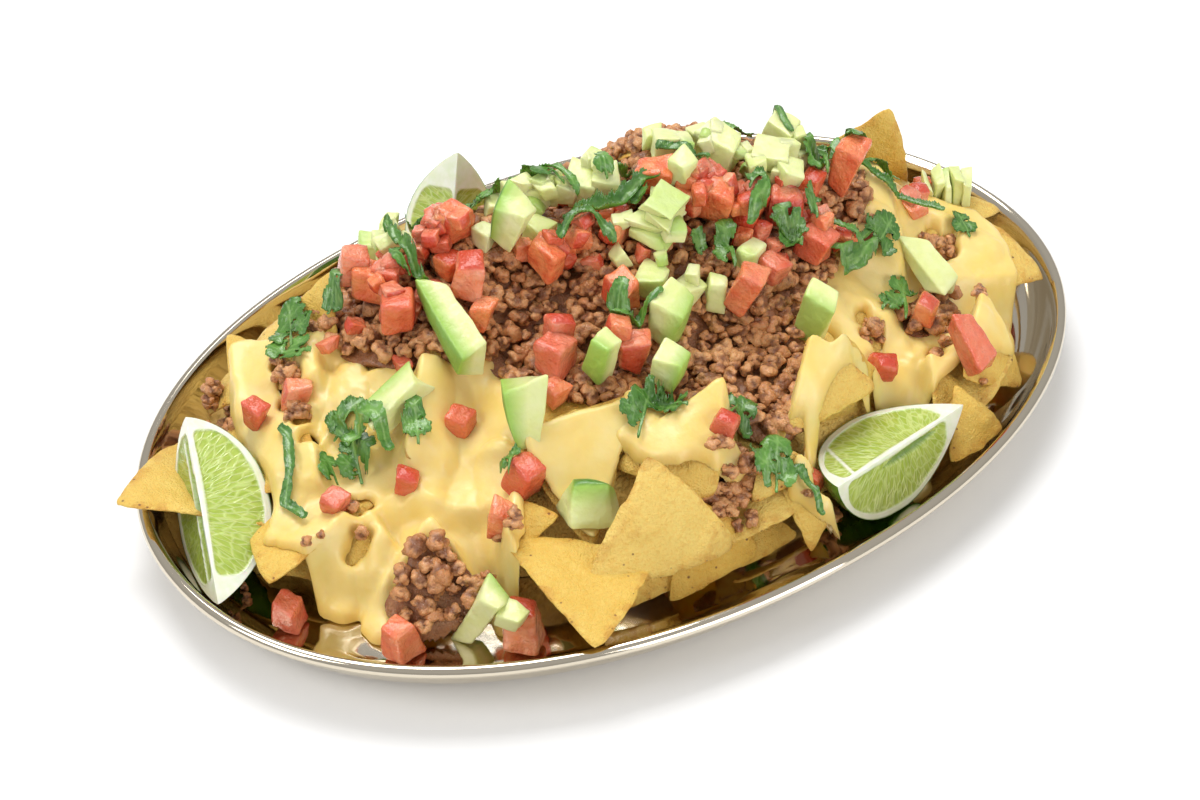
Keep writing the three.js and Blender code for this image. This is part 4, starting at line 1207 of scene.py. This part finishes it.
def cubeGrid(line):  # the faces of a cube ruled by the same lines, -1 to 1
    points, faces = [], []
    count = len(line)
    for axis in range(3):
        for way in (-1, 1):
            u, v = np.meshgrid(line, line, indexing="ij")
            grid = np.stack([np.full(u.shape, float(way)), u * way, v], 2)
            index = np.arange(count**2).reshape(count, count) + len(points) * count**2
            points.append(np.roll(grid, axis, 2).reshape(-1, 3))
            a, b, c, d = index[:-1, :-1], index[1:, :-1], index[1:, 1:], index[:-1, 1:]
            faces += [stacked(a, b, c), stacked(a, c, d)]
    points, faces = np.concatenate(points), np.concatenate(faces)
    _, first, back = np.unique(np.round(points, 5), axis=0, return_index=True, return_inverse=True)
    return points[first], back.ravel()[faces]


def crumbleShape(directions, seed, settings):  # granules pressed together; also a mask of painted shade in the creases between them
    pick = random.Random(seed)
    distance = np.full(len(directions), 0.5)
    for _ in range(pick.randint(*settings["granules"])):
        offset = unit(np.array([pick.gauss(0, 1) for _ in range(3)]))
        offset = offset * pick.uniform(*settings["granuleOut"]) * np.array(settings["shape"])
        radius = pick.uniform(*settings["granuleSize"])
        along = directions @ offset
        inside = radius**2 - (offset @ offset - along**2)
        distance = np.maximum(distance, np.where(inside > 0, along + np.sqrt(np.maximum(inside, 0)), 0))
    # the second value is painted shade, 1 where the surface sinks between granules
    return directions * distance[:, None], 1 - np.clip((distance - 0.55) / 0.3, 0, 1)


def beefMaterial(colours):
    material, tree = newFood("brownedBeef", 0.45, (0.08, 0.002, (1.0, 0.2, 0.1)), (0.25, 0.22))
    colour = mixColour(tree, field(tree, "tone"), colours["dark"], colours["light"])
    colour = tinted(tree, colour, mottle(tree, 2.2, 1.3), 0.4, 1.0, 0.5, colours["patches"])
    # painted shade: darker in the creases between granules and over the low base layer
    colour = tinted(tree, colour, field(tree, "cavity"), 0.2, 0.9, 0.8, colours["hollows"])
    roughness = mapped(tree, mottle(tree, 1.6, 1.3), 0, 1, 0.22, 0.55)
    values = {"Vector": objectPlace(tree), "Scale": 620.0}
    beads = addNode(tree, "ShaderNodeTexVoronoi", values, feature="SMOOTH_F1").outputs["Distance"]
    height = mathNode(tree, "SUBTRACT", times(tree, mottle(tree, 0.8, 1.2), 0.4), beads)
    links = {"Base Color": colour, "Roughness": roughness}
    return finishMaterial(material, links, height, 0.7, 0.9)


def beefLayer(settings):
    # its grid, how far inside the edge each cell is, the bed that it lies on and its level
    west, east, south, north = settings["area"]
    step = settings["cell"]
    x, y = np.meshgrid(np.arange(west, east, step), np.arange(south, north, step), indexing="ij")
    wx = x + settings["wobble"] * flatNoise(x, y, 6, 81)
    wy = y + settings["wobble"] * flatNoise(x, y, 6, 82)
    depth = np.full(x.shape, -1e9)
    for loop in [beefOutline, *beefPatches]:
        depth = np.maximum(depth, insideDistance(wx, wy, smoothLoop(loop, 4)))
    for lime in limes.values():
        depth = np.minimum(depth, -insideDistance(x, y, limeShadow(lime)) - settings["limeGap"])
    heap = heapHeight(x, y)
    near = settings["nearHeap"]
    bed = blurred(np.clip(groundAt(x, y), heap - near, heap + near), 1.6)
    rise = np.clip((depth + 1) / settings["slope"], 0, 1)
    level = bed + rise * (settings["depth"] - settings["relief"] * flatNoise(x, y, 6, 83))
    return x, y, depth, bed, level


def placeCrumbles(settings, pick, depth, level):  # x, y, height if it has one, and size
    west, east, south, north = settings["area"]
    step, margin = settings["cell"], 4
    crumbles, taken = [], np.full((1, 3), 1e9)
    for _ in range(settings["darts"]):
        px = pick.uniform(west + margin, east - margin)
        py = pick.uniform(south + margin, north - margin)
        i, j = int(round((px - west) / step)), int(round((py - south) / step))
        room = settings["spacing"] * pick.uniform(0.85, 1.2)
        spot = np.array([px, py, level[i, j]])
        if depth[i, j] > 0.2 and (((taken - spot) ** 2).sum(1) > room**2).all():
            taken = np.append(taken, spot[None], 0)
            height = spot[2] + pick.uniform(1.4, 3.0) - 2.2 * (py > 52)  # lower at the back
            crumbles.append((px, py, height, pick.uniform(*settings["crumble"])))
    reachX, reachY = settings["pileReach"]
    for px, py, spreadOut, count in settings["piles"]:
        for _ in range(count):
            x, y = px + pick.gauss(0, 0.5) * spreadOut, py + pick.gauss(0, 0.5) * spreadOut
            size = pick.uniform(*settings["pileCrumble"])
            if (x / reachX) ** 2 + (y / reachY) ** 2 < 1:
                crumbles.append((x, y, None, size))
    return crumbles + [(px, py, None, size) for px, py, size in settings["loose"]]


def makeBeef(settings):
    pick = random.Random(5)
    x, y, depth, bed, level = beefLayer(settings)
    top = level - 0.6 + 0.7 * flatNoise(x, y, 2.6, 84)
    middle = int((settings["split"] - settings["area"][0]) / settings["cell"])
    bundles = {"beefLeft": newBundle(), "beefRight": newBundle()}
    for bundle, part in zip(bundles.values(), (slice(0, middle + 1), slice(middle, None))):
        # the base layer under the crumbles gets painted shade throughout
        fields = {"cavity": np.full(x[part].shape, 0.7), "tone": flatNoise(x[part], y[part], 5, 85)}
        inside, under = depth[part] + 0.8, bed[part] - 2
        addGridSolid(bundle, x[part], y[part], top[part], under, inside, settings["cell"], fields)
    covered = depth > 0
    each = np.arange(covered.sum())[:, None].repeat(3, 1)
    raiseGround(np.stack([x[covered], y[covered], top[covered]], 1), each, 1)
    directions, faces = cubeGrid(np.tan(np.linspace(-1, 1, 6) * math.pi / 4))
    kinds = [crumbleShape(unit(directions), 100 + k, settings) for k in range(settings["kinds"])]
    beef, before = beefMaterial(settings["colours"]), ground.copy()
    for px, py, pz, size in placeCrumbles(settings, pick, depth, level):
        shape, cavity = kinds[pick.randrange(len(kinds))]
        shape = turned(shape * size, pick.uniform(0, 360), pick.uniform(0, 360), pick.uniform(0, 360))
        shape[:, 2] *= settings["flattened"]
        if pz is None:  # it rests on the others, in a low pile
            under = float(before[cellsOf(np.array(px), np.array(py))])
            pz = min(float(groundAt(px, py)), under + settings["pileHeight"])
            pz = max(pz, float(heapHeight(px, py)) - 3) + 0.4 * size
        shape = shape + np.array([px, py, pz])
        raiseGround(shape, faces, 1)
        bundle = bundles["beefLeft" if px < settings["split"] else "beefRight"]
        addTo(bundle, shape, faces, cavity=cavity, tone=pick.random())
    for name, bundle in bundles.items():
        makePiece(name, bundle, beef, ["ground_beef"])


# diced tomato and avocado
tomatoNodes = [f"tomato_{i:02d}" for i in range(1, 20)]
avocadoNodes = [f"avocado_{i:02d}" for i in range(1, 20)]
blocks = {  # width, depth, height, yaw, tilt and how wide the foot is against the top, as in the frame
    "tomato": [
        (9.5, 11.5, 11.5, 35, 12, 1), (10.5, 10.5, 10.5, 60, 8, 0.8), (10.5, 9.5, 10.5, 15, 14, 1),
        (11.5, 9.5, 11.5, 50, 8, 1), (7, 10.5, 10.5, 10, 16, 1), (14, 10, 11, -35, 10, 0.9),
        (8, 10.5, 10.5, 0, 14, 1), (11.5, 9.5, 11.5, 20, 8, 1), (9, 9, 11.5, 55, 12, 0.8),
        (10.5, 11.5, 12, 30, 12, 0.9), (9.5, 10.5, 11.5, 65, 10, 1), (9, 10.5, 10.5, 20, 14, 0.9),
        (11.5, 9, 15, 35, 24, 0.8), (11.5, 9.5, 19, 30, 14, 0.6), (10, 18, 9, -5, 30, 0.8),
        (8.5, 9, 12, 10, 16, 1), (7.5, 7.5, 9, 30, 0, 1), (8, 7.5, 12, 15, 0, 1.3),
        (8, 8, 16, 40, 0, 1.35),
    ],
    "avocado": [
        (11.5, 9, 7.5, -40, 12, 1), (9, 33, 9, -6, 24, 0.9), (9.5, 19, 9, -85, 20, 0.9),
        (10.5, 15, 19.5, 30, 20, 0.6), (14, 8, 8, -40, 10, 1), (17, 11, 10, -45, 12, 1),
        (11.5, 9.5, 10.5, 60, 10, 1), (10.5, 12.5, 13, 20, 12, 0.9), (13, 13, 14, 45, 8, 0.9),
        (10.5, 10.5, 13, 15, 14, 1), (15, 11.5, 14, 30, 10, 1), (10.5, 9.5, 16, 20, 16, 0.9),
        (10.5, 8, 13, 35, 16, 0.9), (9, 9, 17, 15, 16, 0.9), (15, 12, 18, -30, -26, 0.35),
        (9, 10.5, 18, 25, 16, 0.8), (17, 10, 9.5, -38, 8, 1), (10, 21, 7, -4, 26, 0.95),
        (8.5, 8, 22, 25, 26, 0.9),
    ],
}
extraTomatoes = [  # x, y, width, depth, height, yaw, tilt
    (-88, 63, 8, 8, 8, 20, 10), (-73, 63, 7, 8, 7, 40, 10), (-77, 45, 8, 9, 12, 70, 15),
    (-70, 30, 7, 6, 6, 10, 5), (-59, 37, 8, 7, 8, 30, 12), (-42, 43, 9, 9, 9, 60, 10),
    (-51, 27, 10, 10, 9, 15, 8), (-53, 6, 9, 8, 11, 35, 12), (3, 35, 8, 6, 6, 10, 8),
    (-9, 12, 10, 8, 8, 50, 12), (2, 7, 11, 9, 9, 20, 10), (-37, -14, 9, 9, 10, 70, 14),
    (46, -8, 11, 12, 11, 40, 12), (76, -7, 9, 9, 12, 25, 10), (42, -27, 10, 9, 10, 10, 12),
    (79, -27, 9, 9, 9, 50, 10), (145, -22, 13, 8, 8, 30, 8), (88, -56, 9, 9, 9, 20, 12),
    (59, -66, 9, 9, 9, 60, 10), (-15, -70, 9, 9, 9, 30, 10), (11, -84, 7, 7, 11, 20, 14),
    (-87, -50, 8, 8, 12, 45, 12), (-124, 35, 7, 8, 10, 30, 14), (-110, 32, 8, 9, 12, 60, 16),
    (-122, -9, 8, 8, 8, 20, 10), (-100, -17, 8, 8, 8, 50, 10), (-76, -13, 9, 9, 9, 30, 12),
    (-49, -27, 8, 8, 8, 10, 10), (-24, -27, 9, 9, 10, 60, 12), (30, 2, 10, 10, 10, 15, 10),
]
extraAvocados = [
    (-54, 60, 8, 6, 7, 40, 10), (-37, 27, 6, 7, 8, 10, 8), (-22, 42, 8, 8, 8, 60, 10),
    (-20, 22, 10, 9, 9, 20, 10), (-3, 27, 9, 8, 9, 40, 12), (29, 6, 8, 9, 12, 15, 10),
    (42, 12, 11, 10, 10, 50, 10), (79, 5, 12, 10, 12, 30, 12), (64, -8, 12, 10, 10, 60, 10),
    (92, 26, 9, 8, 8, 20, 8), (1, -14, 12, 10, 11, 35, 12), (11, -19, 10, 9, 9, 10, 10),
    (19, -25, 8, 8, 12, 50, 12), (38, -21, 10, 9, 10, 25, 10), (143, -8, 10, 9, 9, 60, 10),
    (-101, -74, 8, 8, 7, 20, 6), (-62, -64, 13, 7, 13, -38, -20),
]
scattered = {  # small dice strewn between the others: middle, half lengths, turn, count
    "tomato": [
        (-60, 32, 26, 15, 20, 26), (48, -8, 34, 14, -30, 30), (-10, 10, 26, 12, -20, 14),
        (128, -18, 18, 10, 0, 4),
    ],
    "avocado": [
        (58, 12, 30, 12, -25, 18), (-8, 30, 30, 10, -15, 12), (-58, 52, 14, 7, 20, 5),
        (8, -8, 20, 14, 60, 7),
    ],
}
greenSides = {  # dice with skin: the axis and way that it faces, and how green they are
    "avocado_02": (0, -1, 0.95), "avocado_03": (0, -1, 0.85), "avocado_04": (1, 1, 1.0),
    "avocado_12": (1, -1, 0.8), "avocado_13": (1, -1, 0.85), "avocado_14": (0, -1, 0.9),
    "avocado_15": (0, -1, 0.95), "avocado_16": (0, -1, 0.7), "avocado_19": (0, 1, 0.85),
    "avocado extra 16": (2, 1, 1.0),
}
feet = {"avocado extra 16": 1.7}  # how wide a die's foot is, against its top
slicedDice = {  # axis and count
    "avocado_06": (0, 2), "avocado_09": (2, 2), "avocado_11": (2, 4), "avocado_17": (0, 5),
}
dieSettings = {
    "tomato": {
        "rounding": 1.5,
        "skew": 0.15,
        "waves": 0.65,
        "small": (4.5, 8.0),
        "dome": 1.0,
        "seed": 300,
        "colours": {
            "flesh": (0.78, 0.15, 0.05),
            "lightFlesh": (0.88, 0.31, 0.11),
            "ripe": (0.63, 0.085, 0.045),
            "pale": (0.88, 0.46, 0.30),
            "skin": (0.58, 0.045, 0.018),
        },
    },
    "avocado": {
        "rounding": 1.0,
        "skew": 0.2,
        "waves": 0.5,
        "small": (4.5, 8.5),
        "dome": 1.3,
        "seed": 500,
        "colours": {
            "flesh": (0.78, 0.80, 0.45),
            "deepFlesh": (0.72, 0.76, 0.32),
            "ripe": (0.68, 0.78, 0.27),
            "green": (0.30, 0.52, 0.07),
            "skin": (0.05, 0.18, 0.015),
        },
    },
}
diceSettings = {
    "grow": 1.06,  # rounding makes a die look smaller
    "splits": 12,
    "smallSplits": 7,
    "sliceGap": 0.94,
    "extraScale": 0.86,
    "extraRise": 0.34,  # how far a die's middle is over the ground, as part of its height
    "smallRise": 0.3,
    "standOut": 15,  # how far the ground under it may be over the heap
    "foot": 0.9,
}


def addDie(bundle, kind, grid, size, turn, foot, seed, place, green):
    settings = dieSettings[kind]
    shape, faces = grid
    half = np.array(size) / 2 * diceSettings["grow"]
    rounding = min(settings["rounding"], 0.3 * half.min())
    points = shape * half
    inner = np.clip(points, rounding - half, half - rounding)
    points = inner + rounding * unit(points - inner)
    at = points / half
    for corner in np.ndindex(2, 2, 2):  # no die is square
        weight = np.prod(np.where(corner, 1 + at, 1 - at) / 2, axis=1)
        first = seed * 3.3 + corner[0] * 5 + corner[1] * 11 + corner[2] * 23
        shift = [spread(first + axis, settings["skew"]) for axis in range(3)]
        points += weight[:, None] * np.array(shift) * 2 * half
    points[:, :2] *= 1 + (foot - 1) * (0.5 - at[:, 2:3] / 2)
    if green:
        sideAxis, way, greenness = green
    else:
        sideAxis, way = int(chance(seed + 0.9) * 3), (1 if chance(seed + 0.7) > 0.5 else -1)
        greenness = max(1.5 * chance(seed + 0.5) - 0.75, 0)
    skin = np.clip(at[:, sideAxis] * way, -1, 1)
    if kind == "tomato" or greenness > 0.5:  # the side with the skin is domed
        dome = np.prod(1 - np.delete(at, sideAxis, 1) ** 2, axis=1) * eased(skin, 0.5, 1.0)
        points[:, sideAxis] += settings["dome"] * dome * way
    waves = settings["waves"] * (1 - 0.6 * eased(skin, 0.8, 1))
    normal = unit(points - inner * 0.6)
    uneven = valueNoise(points, 4.5, seed) + 0.4 * valueNoise(points, 1.8, seed + 1)
    points = turned(points + normal * (waves * uneven)[:, None], *turn)
    if place[3]:  # centred on its place in the frame
        points -= (points.max(0) + points.min(0)) / 2
    points += np.array(place[:3])
    addTo(bundle, points, faces, skin=skin, tone=chance(seed + 0.2), green=greenness)
    return points


def addFrameDice(bundle, kind, nodes, grid, sliceGrid):  # the large ones, some of them cut into slices
    for k, node in enumerate(nodes):
        low, high = nodeBox(node)
        *size, yaw, tilt, foot = blocks[kind][k]
        axis, count = slicedDice.get(node, (2, 1))
        sliced = count > 1
        for part in range(count):
            offset = np.array([spread(k + part + 0.1, 1.2), spread(k + part + 0.6, 1.2), 0.0]) * sliced
            offset[axis] = ((part + 0.5) / count - 0.5) * size[axis]
            slab = list(size)
            if sliced:
                slab[axis] = size[axis] / count * diceSettings["sliceGap"]
            place = (*(low + high) / 2 + turned(offset, yaw, tilt), True)
            turn = (yaw + spread(k + part + 0.3, 5) * sliced, tilt)
            seed = dieSettings[kind]["seed"] + k + 0.37 * part
            used = sliceGrid if sliced else grid
            addDie(bundle, kind, used, slab, turn, foot, seed, place, greenSides.get(node))


def dieGrid(splits):  # closer together toward the edges
    return cubeGrid(np.sin(np.linspace(-1, 1, splits + 1) * math.pi / 2))


def makeDice(kind, nodes, extras, material):
    shared, seed = diceSettings, dieSettings[kind]["seed"]
    grid, smallGrid = dieGrid(shared["splits"]), dieGrid(shared["smallSplits"])
    bundle = newBundle()
    addFrameDice(bundle, kind, nodes, grid, smallGrid)
    raiseByBundle(bundle, 2)
    pick = random.Random(seed)
    dice = [(*extra, shared["extraRise"]) for extra in extras]
    for x, y, halfLength, halfWidth, turn, count in scattered[kind]:
        c, s = math.cos(math.radians(turn)), math.sin(math.radians(turn))
        for _ in range(count):
            u, v = pick.gauss(0, 0.5) * halfLength, pick.gauss(0, 0.5) * halfWidth
            size = [pick.uniform(*dieSettings[kind]["small"]) for _ in range(3)]
            turns = pick.uniform(0, 90), pick.uniform(-30, 30)
            dice.append((x + u * c - v * s, y + u * s + v * c, *size, *turns, shared["smallRise"]))
    for k, (x, y, *size, yaw, tilt, rise) in enumerate(dice):
        around = groundAt(x + np.array([0, 3, -3, 0, 0]), y + np.array([0, 0, 0, 3, -3]))
        level = min(float(np.median(around)), float(heapHeight(x, y)) + shared["standOut"])
        place = (x, y, level + rise * size[2], False)
        size = [length * shared["extraScale"] for length in size]
        label = f"{kind} extra {k}"
        foot, green = feet.get(label, shared["foot"]), greenSides.get(label)
        points = addDie(bundle, kind, smallGrid, size, (yaw, tilt), foot, seed + 60 + k, place, green)
        raiseGround(points, smallGrid[1], 2)
    makePiece(kind + "Dice", bundle, material, nodes)


def chanceOf(tree, factor):  # another even value for each die
    scaled = times(tree, field(tree, "tone"), factor)
    return addNode(tree, "ShaderNodeMath", {0: scaled}, operation="FRACT").outputs[0]


def tomatoMaterial(colours):
    material, tree = newFood("tomatoFlesh", 0.24, (0.35, 0.003, (1.0, 0.25, 0.15)), (0.45, 0.07))
    colour = mixColour(tree, mottle(tree, 5, 1.0), colours["flesh"], colours["lightFlesh"])
    colour = tinted(tree, colour, field(tree, "tone"), 0.35, 0.75, 0.75, colours["ripe"])
    pale = times(tree, mottle(tree, 7.0, 1.0), mapped(tree, chanceOf(tree, 5.0), 0.3, 1.0, 0.0, 0.6))
    colour = mixColour(tree, pale, colour, colours["pale"])
    colour = tinted(tree, colour, field(tree, "skin"), 0.88, 0.98, 0.8, colours["skin"])
    height = mathNode(tree, "ADD", mottle(tree, 2.6, 1.2), mottle(tree, 1.0, 0.5))
    return finishMaterial(material, {"Base Color": colour}, height, 0.5, 0.7)


def avocadoMaterial(colours):
    material, tree = newFood("avocadoFlesh", 0.36, (0.25, 0.003, (0.8, 1.0, 0.3)), (0.15, 0.2))
    colour = mixColour(tree, mottle(tree, 6, 1.0), colours["flesh"], colours["deepFlesh"])
    colour = tinted(tree, colour, field(tree, "tone"), 0, 1, 0.5, colours["ripe"])
    greenness = times(tree, mapped(tree, field(tree, "skin"), -0.3, 1.0), field(tree, "green"))
    colour = tinted(tree, colour, greenness, 0.15, 0.85, 0.9, colours["green"])
    colour = tinted(tree, colour, greenness, 0.90, 1.0, 0.92, colours["skin"])
    return finishMaterial(material, {"Base Color": colour}, mottle(tree, 3.2, 1.0), 0.35, 0.6)


# coriander
leafNodes = [f"cilantro_{i:02d}" for i in range(1, 10)]
sprigs = [  # x, y, length, width, yaw
    (-36, 58, 24, 15, 30), (-22, 46, 12, 8, 10), (-28, 50, 12, 8, 30), (-4, 51, 14, 11, 60),
    (-8, 36, 22, 12, 100), (20, 27, 11, 8, 10), (-97, 55, 20, 15, 60), (-104, 46, 18, 12, 120),
    (-85, 45, 10, 8, 30), (-102, 13, 15, 13, 20), (-107, 2, 17, 13, 70), (-116, 2, 10, 9, 80),
    (-90, -9, 13, 9, 60), (-76, -41, 8, 8, 40), (-16, -18, 9, 8, 30), (73, 30, 19, 13, 10),
    (62, 30, 12, 9, 150), (83, -3, 17, 12, 70), (90, 8, 12, 9, 30), (32, -15, 15, 11, 70),
    (54, -20, 13, 10, 100), (93, -28, 17, 12, 20), (87, -46, 20, 13, 50), (131, -30, 12, 9, 70),
    (115, 0, 18, 10, 150), (-31, -50, 20, 14, 40), (-24, -54, 12, 9, 110), (-2, -63, 15, 12, 20),
    (-2, -75, 13, 11, 60), (-5, -84, 18, 14, 50), (80, -47, 11, 8, 10), (96, -8, 10, 8, 0),
    (11, 6, 8, 6, 40), (23, -11, 7, 5, 0), (-46, 50, 10, 8, 80), (8, 22, 9, 7, 70),
    (-66, 34, 9, 7, 100), (50, -8, 9, 7, 20), (66, -20, 10, 7, 60), (104, 8, 10, 8, 100),
]
ribbons = [  # half width, path
    (2.0, [(-121, 23), (-121, 19), (-127, 8), (-134, 1), (-132, -7)]),
    (2.0, [(-32, 47), (-43, 50), (-46, 58), (-38, 65), (-29, 62), (-27, 53), (-31, 47)]),
    (3.0, [(-10, 18), (-4, 15), (6, 9), (13, 10), (20, 9)]),
    (2.2, [(-22, 6), (-17, 9), (-13, 9), (-9, 7), (-7, 3), (-6, -2)]),
    (1.9, [(71, -24), (72, -28), (76, -31), (83, -29), (88, -27)]),
    (1.8, [(65, -30), (69, -33), (76, -34), (85, -32)]),
    (1.7, [(96, 12), (101, 2), (107, -8), (110, -16), (114, -26), (117, -32)]),
    (2.3, [(84, 12), (90, 8), (96, 4), (101, 0), (106, -4)]),
    (1.6, [(84, 22), (80, 13), (77, 5)]),
    (0.9, [(49, -17), (53, -22), (58, -26)]),
    (2.0, [(-57, 55), (-62, 43), (-63, 33), (-63, 24)]),
    (2.5, [(-22, -22), (-17, -25), (-11, -25), (-6, -25)]),
    (1.7, [(-1, -88), (1, -91), (1, -96), (0, -101)]),
    (2.3, [(39, -18), (44, -15), (51, -12)]),
    (3.0, [(-109, 1), (-104, 1), (-101, -3), (-101, -10)]),
    (2.2, [(-107, 17), (-107, 12), (-106, 6)]),
    (1.8, [(-14, 44), (-8, 38), (-4, 30), (-3, 22)]),
    (1.7, [(30, 20), (36, 14), (40, 6)]),
]
leafSettings = {
    "cell": 0.5,
    "half": 0.16,  # half the thickness
    "curl": 1.7,
    "lift": 0.9,
    "ribbon": 0.8,  # a ribbon's true width against the table's
    "lobes": 5,
    "settle": (6, 5),  # how far below and above its own level a leaf follows the ground
    "least": 0.2,
    "waves": 0.5,
    "veinHeight": 0.12,
    "colours": {
        "dark": (0.065, 0.20, 0.02),
        "bright": (0.15, 0.34, 0.05),
        "deep": (0.03, 0.11, 0.012),
        "veins": (0.30, 0.50, 0.15),
    },
}


def leafMaterial(colours):
    material, tree = newFood("corianderLeaf", 0.3, (0.12, 0.001, (0.4, 1.0, 0.2)), (0.4, 0.12))
    colour = mixColour(tree, mottle(tree, 5, 1.2), colours["dark"], colours["bright"])
    colour = tinted(tree, colour, field(tree, "tone"), 0.0, 1.0, 0.6, colours["deep"])
    colour = tinted(tree, colour, field(tree, "vein"), 0.2, 1.0, 0.6, colours["veins"])
    return finishMaterial(material, {"Base Color": colour}, mottle(tree, 1.3, 1.2), 0.15, 0.7)


def sprigShape(u, v, length, width, lobes, seed):
    # toothed lobes in fans round short stalks; also the veins
    scale = math.sqrt(length * width)
    fans = [  # x, y, facing, size
        (0.16 * length, 0, 0, 1.0),
        (-0.16 * length, 0.2 * width, 75, 0.85),
        (-0.2 * length, -0.2 * width, -70, 0.8),
    ]
    if chance(seed + 0.1) > 0.6:
        fans.pop()
    depth = 0.5 - segmentDistance(u, v, -0.5 * length, 0, 0.1 * length, 0)
    vein = np.exp(-(segmentDistance(u, v, -0.5 * length, 0, 0.3 * length, 0) / 0.35) ** 2)
    for k, (fu, fv, facing, size) in enumerate(fans):
        size *= scale
        depth = softMax(depth, 0.13 * size - np.hypot(u - fu, v - fv), 0.5)
        for lobe in range(lobes):
            fromMiddle = lobe - lobes // 2
            way = math.radians(facing + fromMiddle * 48 + spread(seed + k * 7 + lobe, 12))
            reach = size * (0.21 + spread(seed + k * 5 + lobe + 0.4, 0.03))
            reach *= 1 if fromMiddle else 1.15  # the middle lobe is longer
            tu, tv = fu + reach * math.cos(way), fv + reach * math.sin(way)
            teeth = 1 + 0.1 * np.sin(9 * np.arctan2(v - tv, u - tu) + seed)
            stalk = segmentDistance(u, v, fu, fv, tu, tv)
            depth = np.maximum(depth, 0.105 * size - np.hypot(u - tu, v - tv) * teeth)
            depth = np.maximum(depth, 0.06 * size - stalk)
            vein = np.maximum(vein, 0.8 * np.exp(-(stalk / 0.3) ** 2))
    return depth, vein


def ribbonShape(u, v, halfWidth, path, seed):  # also the vein, and how far off the middle line
    line = np.array(path, float)
    nearest = np.full(u.shape, 1e9)
    for start, end in zip(line, line[1:]):
        nearest = np.minimum(nearest, segmentDistance(u, v, *start, *end))
    ends = np.minimum(*(np.hypot(u - x, v - y) for x, y in (line[0], line[-1])))
    ragged = 0.4 * flatNoise(u, v, 1.6, seed) + 0.4 * flatNoise(u, v, 4, seed + 1)
    taper = np.clip(0.55 + ends / (4 * halfWidth), 0, 1)
    depth = halfWidth * taper * (1 + 0.5 * ragged) - nearest
    return depth, np.exp(-(nearest / (0.2 * halfWidth)) ** 2), nearest / halfWidth


def layLeaf(bundle, settings, soft, seed, u, v, depth, vein, fold, place):  # on the softened ground
    px, py = place(u, v)
    support = soft[cellsOf(px, py)]
    level = float(np.median(support[depth > 0]))
    below, above = settings["settle"]
    rise = np.maximum(settings["lift"] + fold, settings["least"])
    rise = rise + settings["waves"] * flatNoise(px, py, 3.2, seed + 2) + settings["veinHeight"] * vein
    middle = np.clip(support, level - below, level + above) + rise
    leaf, half = newBundle(), settings["half"]
    addGridSolid(leaf, u, v, middle + half, middle - half, depth, settings["cell"], {"vein": vein})
    points = leaf["points"][0]
    points[:, 0], points[:, 1] = place(points[:, 0], points[:, 1])
    addTo(bundle, points, leaf["faces"][0], vein=leaf["fields"]["vein"][0], tone=chance(seed + 0.4))


def addSprig(bundle, settings, soft, seed, x, y, length, width, yaw):
    half = 0.62 * max(length, width)
    line = np.arange(-half, half, settings["cell"])
    u, v = np.meshgrid(line, line, indexing="ij")
    depth, vein = sprigShape(u, v, length, width, settings["lobes"], seed)
    curl = settings["curl"] * math.sqrt(length / 15)
    fold = curl * (0.5 * np.abs(v) / (0.3 * width) + 0.5 * np.cos(u / length * 7 + seed)) * 0.7
    c, s = math.cos(math.radians(yaw)), math.sin(math.radians(yaw))
    layLeaf(
        bundle, settings, soft, seed, u, v, depth, vein, fold,
        lambda u, v: (x + u * c - v * s, y + u * s + v * c),
    )


def addRibbon(bundle, settings, soft, seed, halfWidth, path):
    low, high = np.min(path, 0) - halfWidth - 2, np.max(path, 0) + halfWidth + 2
    lines = [np.arange(low[axis], high[axis], settings["cell"]) for axis in (0, 1)]
    u, v = np.meshgrid(*lines, indexing="ij")
    depth, vein, off = ribbonShape(u, v, halfWidth * settings["ribbon"], path, seed)
    way = 1 if chance(seed + 0.6) > 0.3 else -0.4
    fold = (0.25 + 0.4 * chance(seed)) * halfWidth * off**2 * way
    layLeaf(bundle, settings, soft, seed, u, v, depth, vein, fold, lambda u, v: (u, v))


def makeLeaves(settings):
    soft = blurred(slid(ground, 2, np.maximum), 1.5)
    bundle = newBundle()
    for k, sprig in enumerate(sprigs):
        addSprig(bundle, settings, soft, 700 + k, *sprig)
    for k, (halfWidth, path) in enumerate(ribbons):
        addRibbon(bundle, settings, soft, 800 + k, halfWidth, path)
    makePiece("corianderLeaves", bundle, leafMaterial(settings["colours"]), leafNodes)


# floor
floorSettings = {
    "half": 3,
    "drop": 0.0004,  # how far it lies under the platter, in metres
    "colour": (0.93, 0.93, 0.93, 1),
    "roughness": 0.8,
}


def addFloor(settings):
    half = settings["half"]
    mesh = bpy.data.meshes.new("floor")
    corners = [(-half, -half, 0), (half, -half, 0), (half, half, 0), (-half, half, 0)]
    mesh.from_pydata(corners, [], [(0, 1, 2, 3)])
    values = {"Base Color": settings["colour"], "Roughness": settings["roughness"]}
    mesh.materials.append(newMaterial("paleFloor", values)[0])
    floor = bpy.data.objects.new("floor", mesh)
    floor.location.z = -settings["drop"]
    scene.collection.objects.link(floor)


addCamera(cameraSettings)
addLight(lightSettings)
addFloor(floorSettings)
print("camera, light and floor set")
makePlatter(platterSettings)
makeChips(chipSettings)
makeCheese(pourSettings)
makeBeef(beefSettings)
makeDice("tomato", tomatoNodes, extraTomatoes, tomatoMaterial(dieSettings["tomato"]["colours"]))
makeDice("avocado", avocadoNodes, extraAvocados, avocadoMaterial(dieSettings["avocado"]["colours"]))
limeSkin = limeMaterial(limeSettings["colours"])
for number, (limeName, limePlan) in enumerate(limes.items()):
    makeLime(limeName, limePlan, limeSettings, limeSkin, number + 1)
makeLeaves(leafSettings)
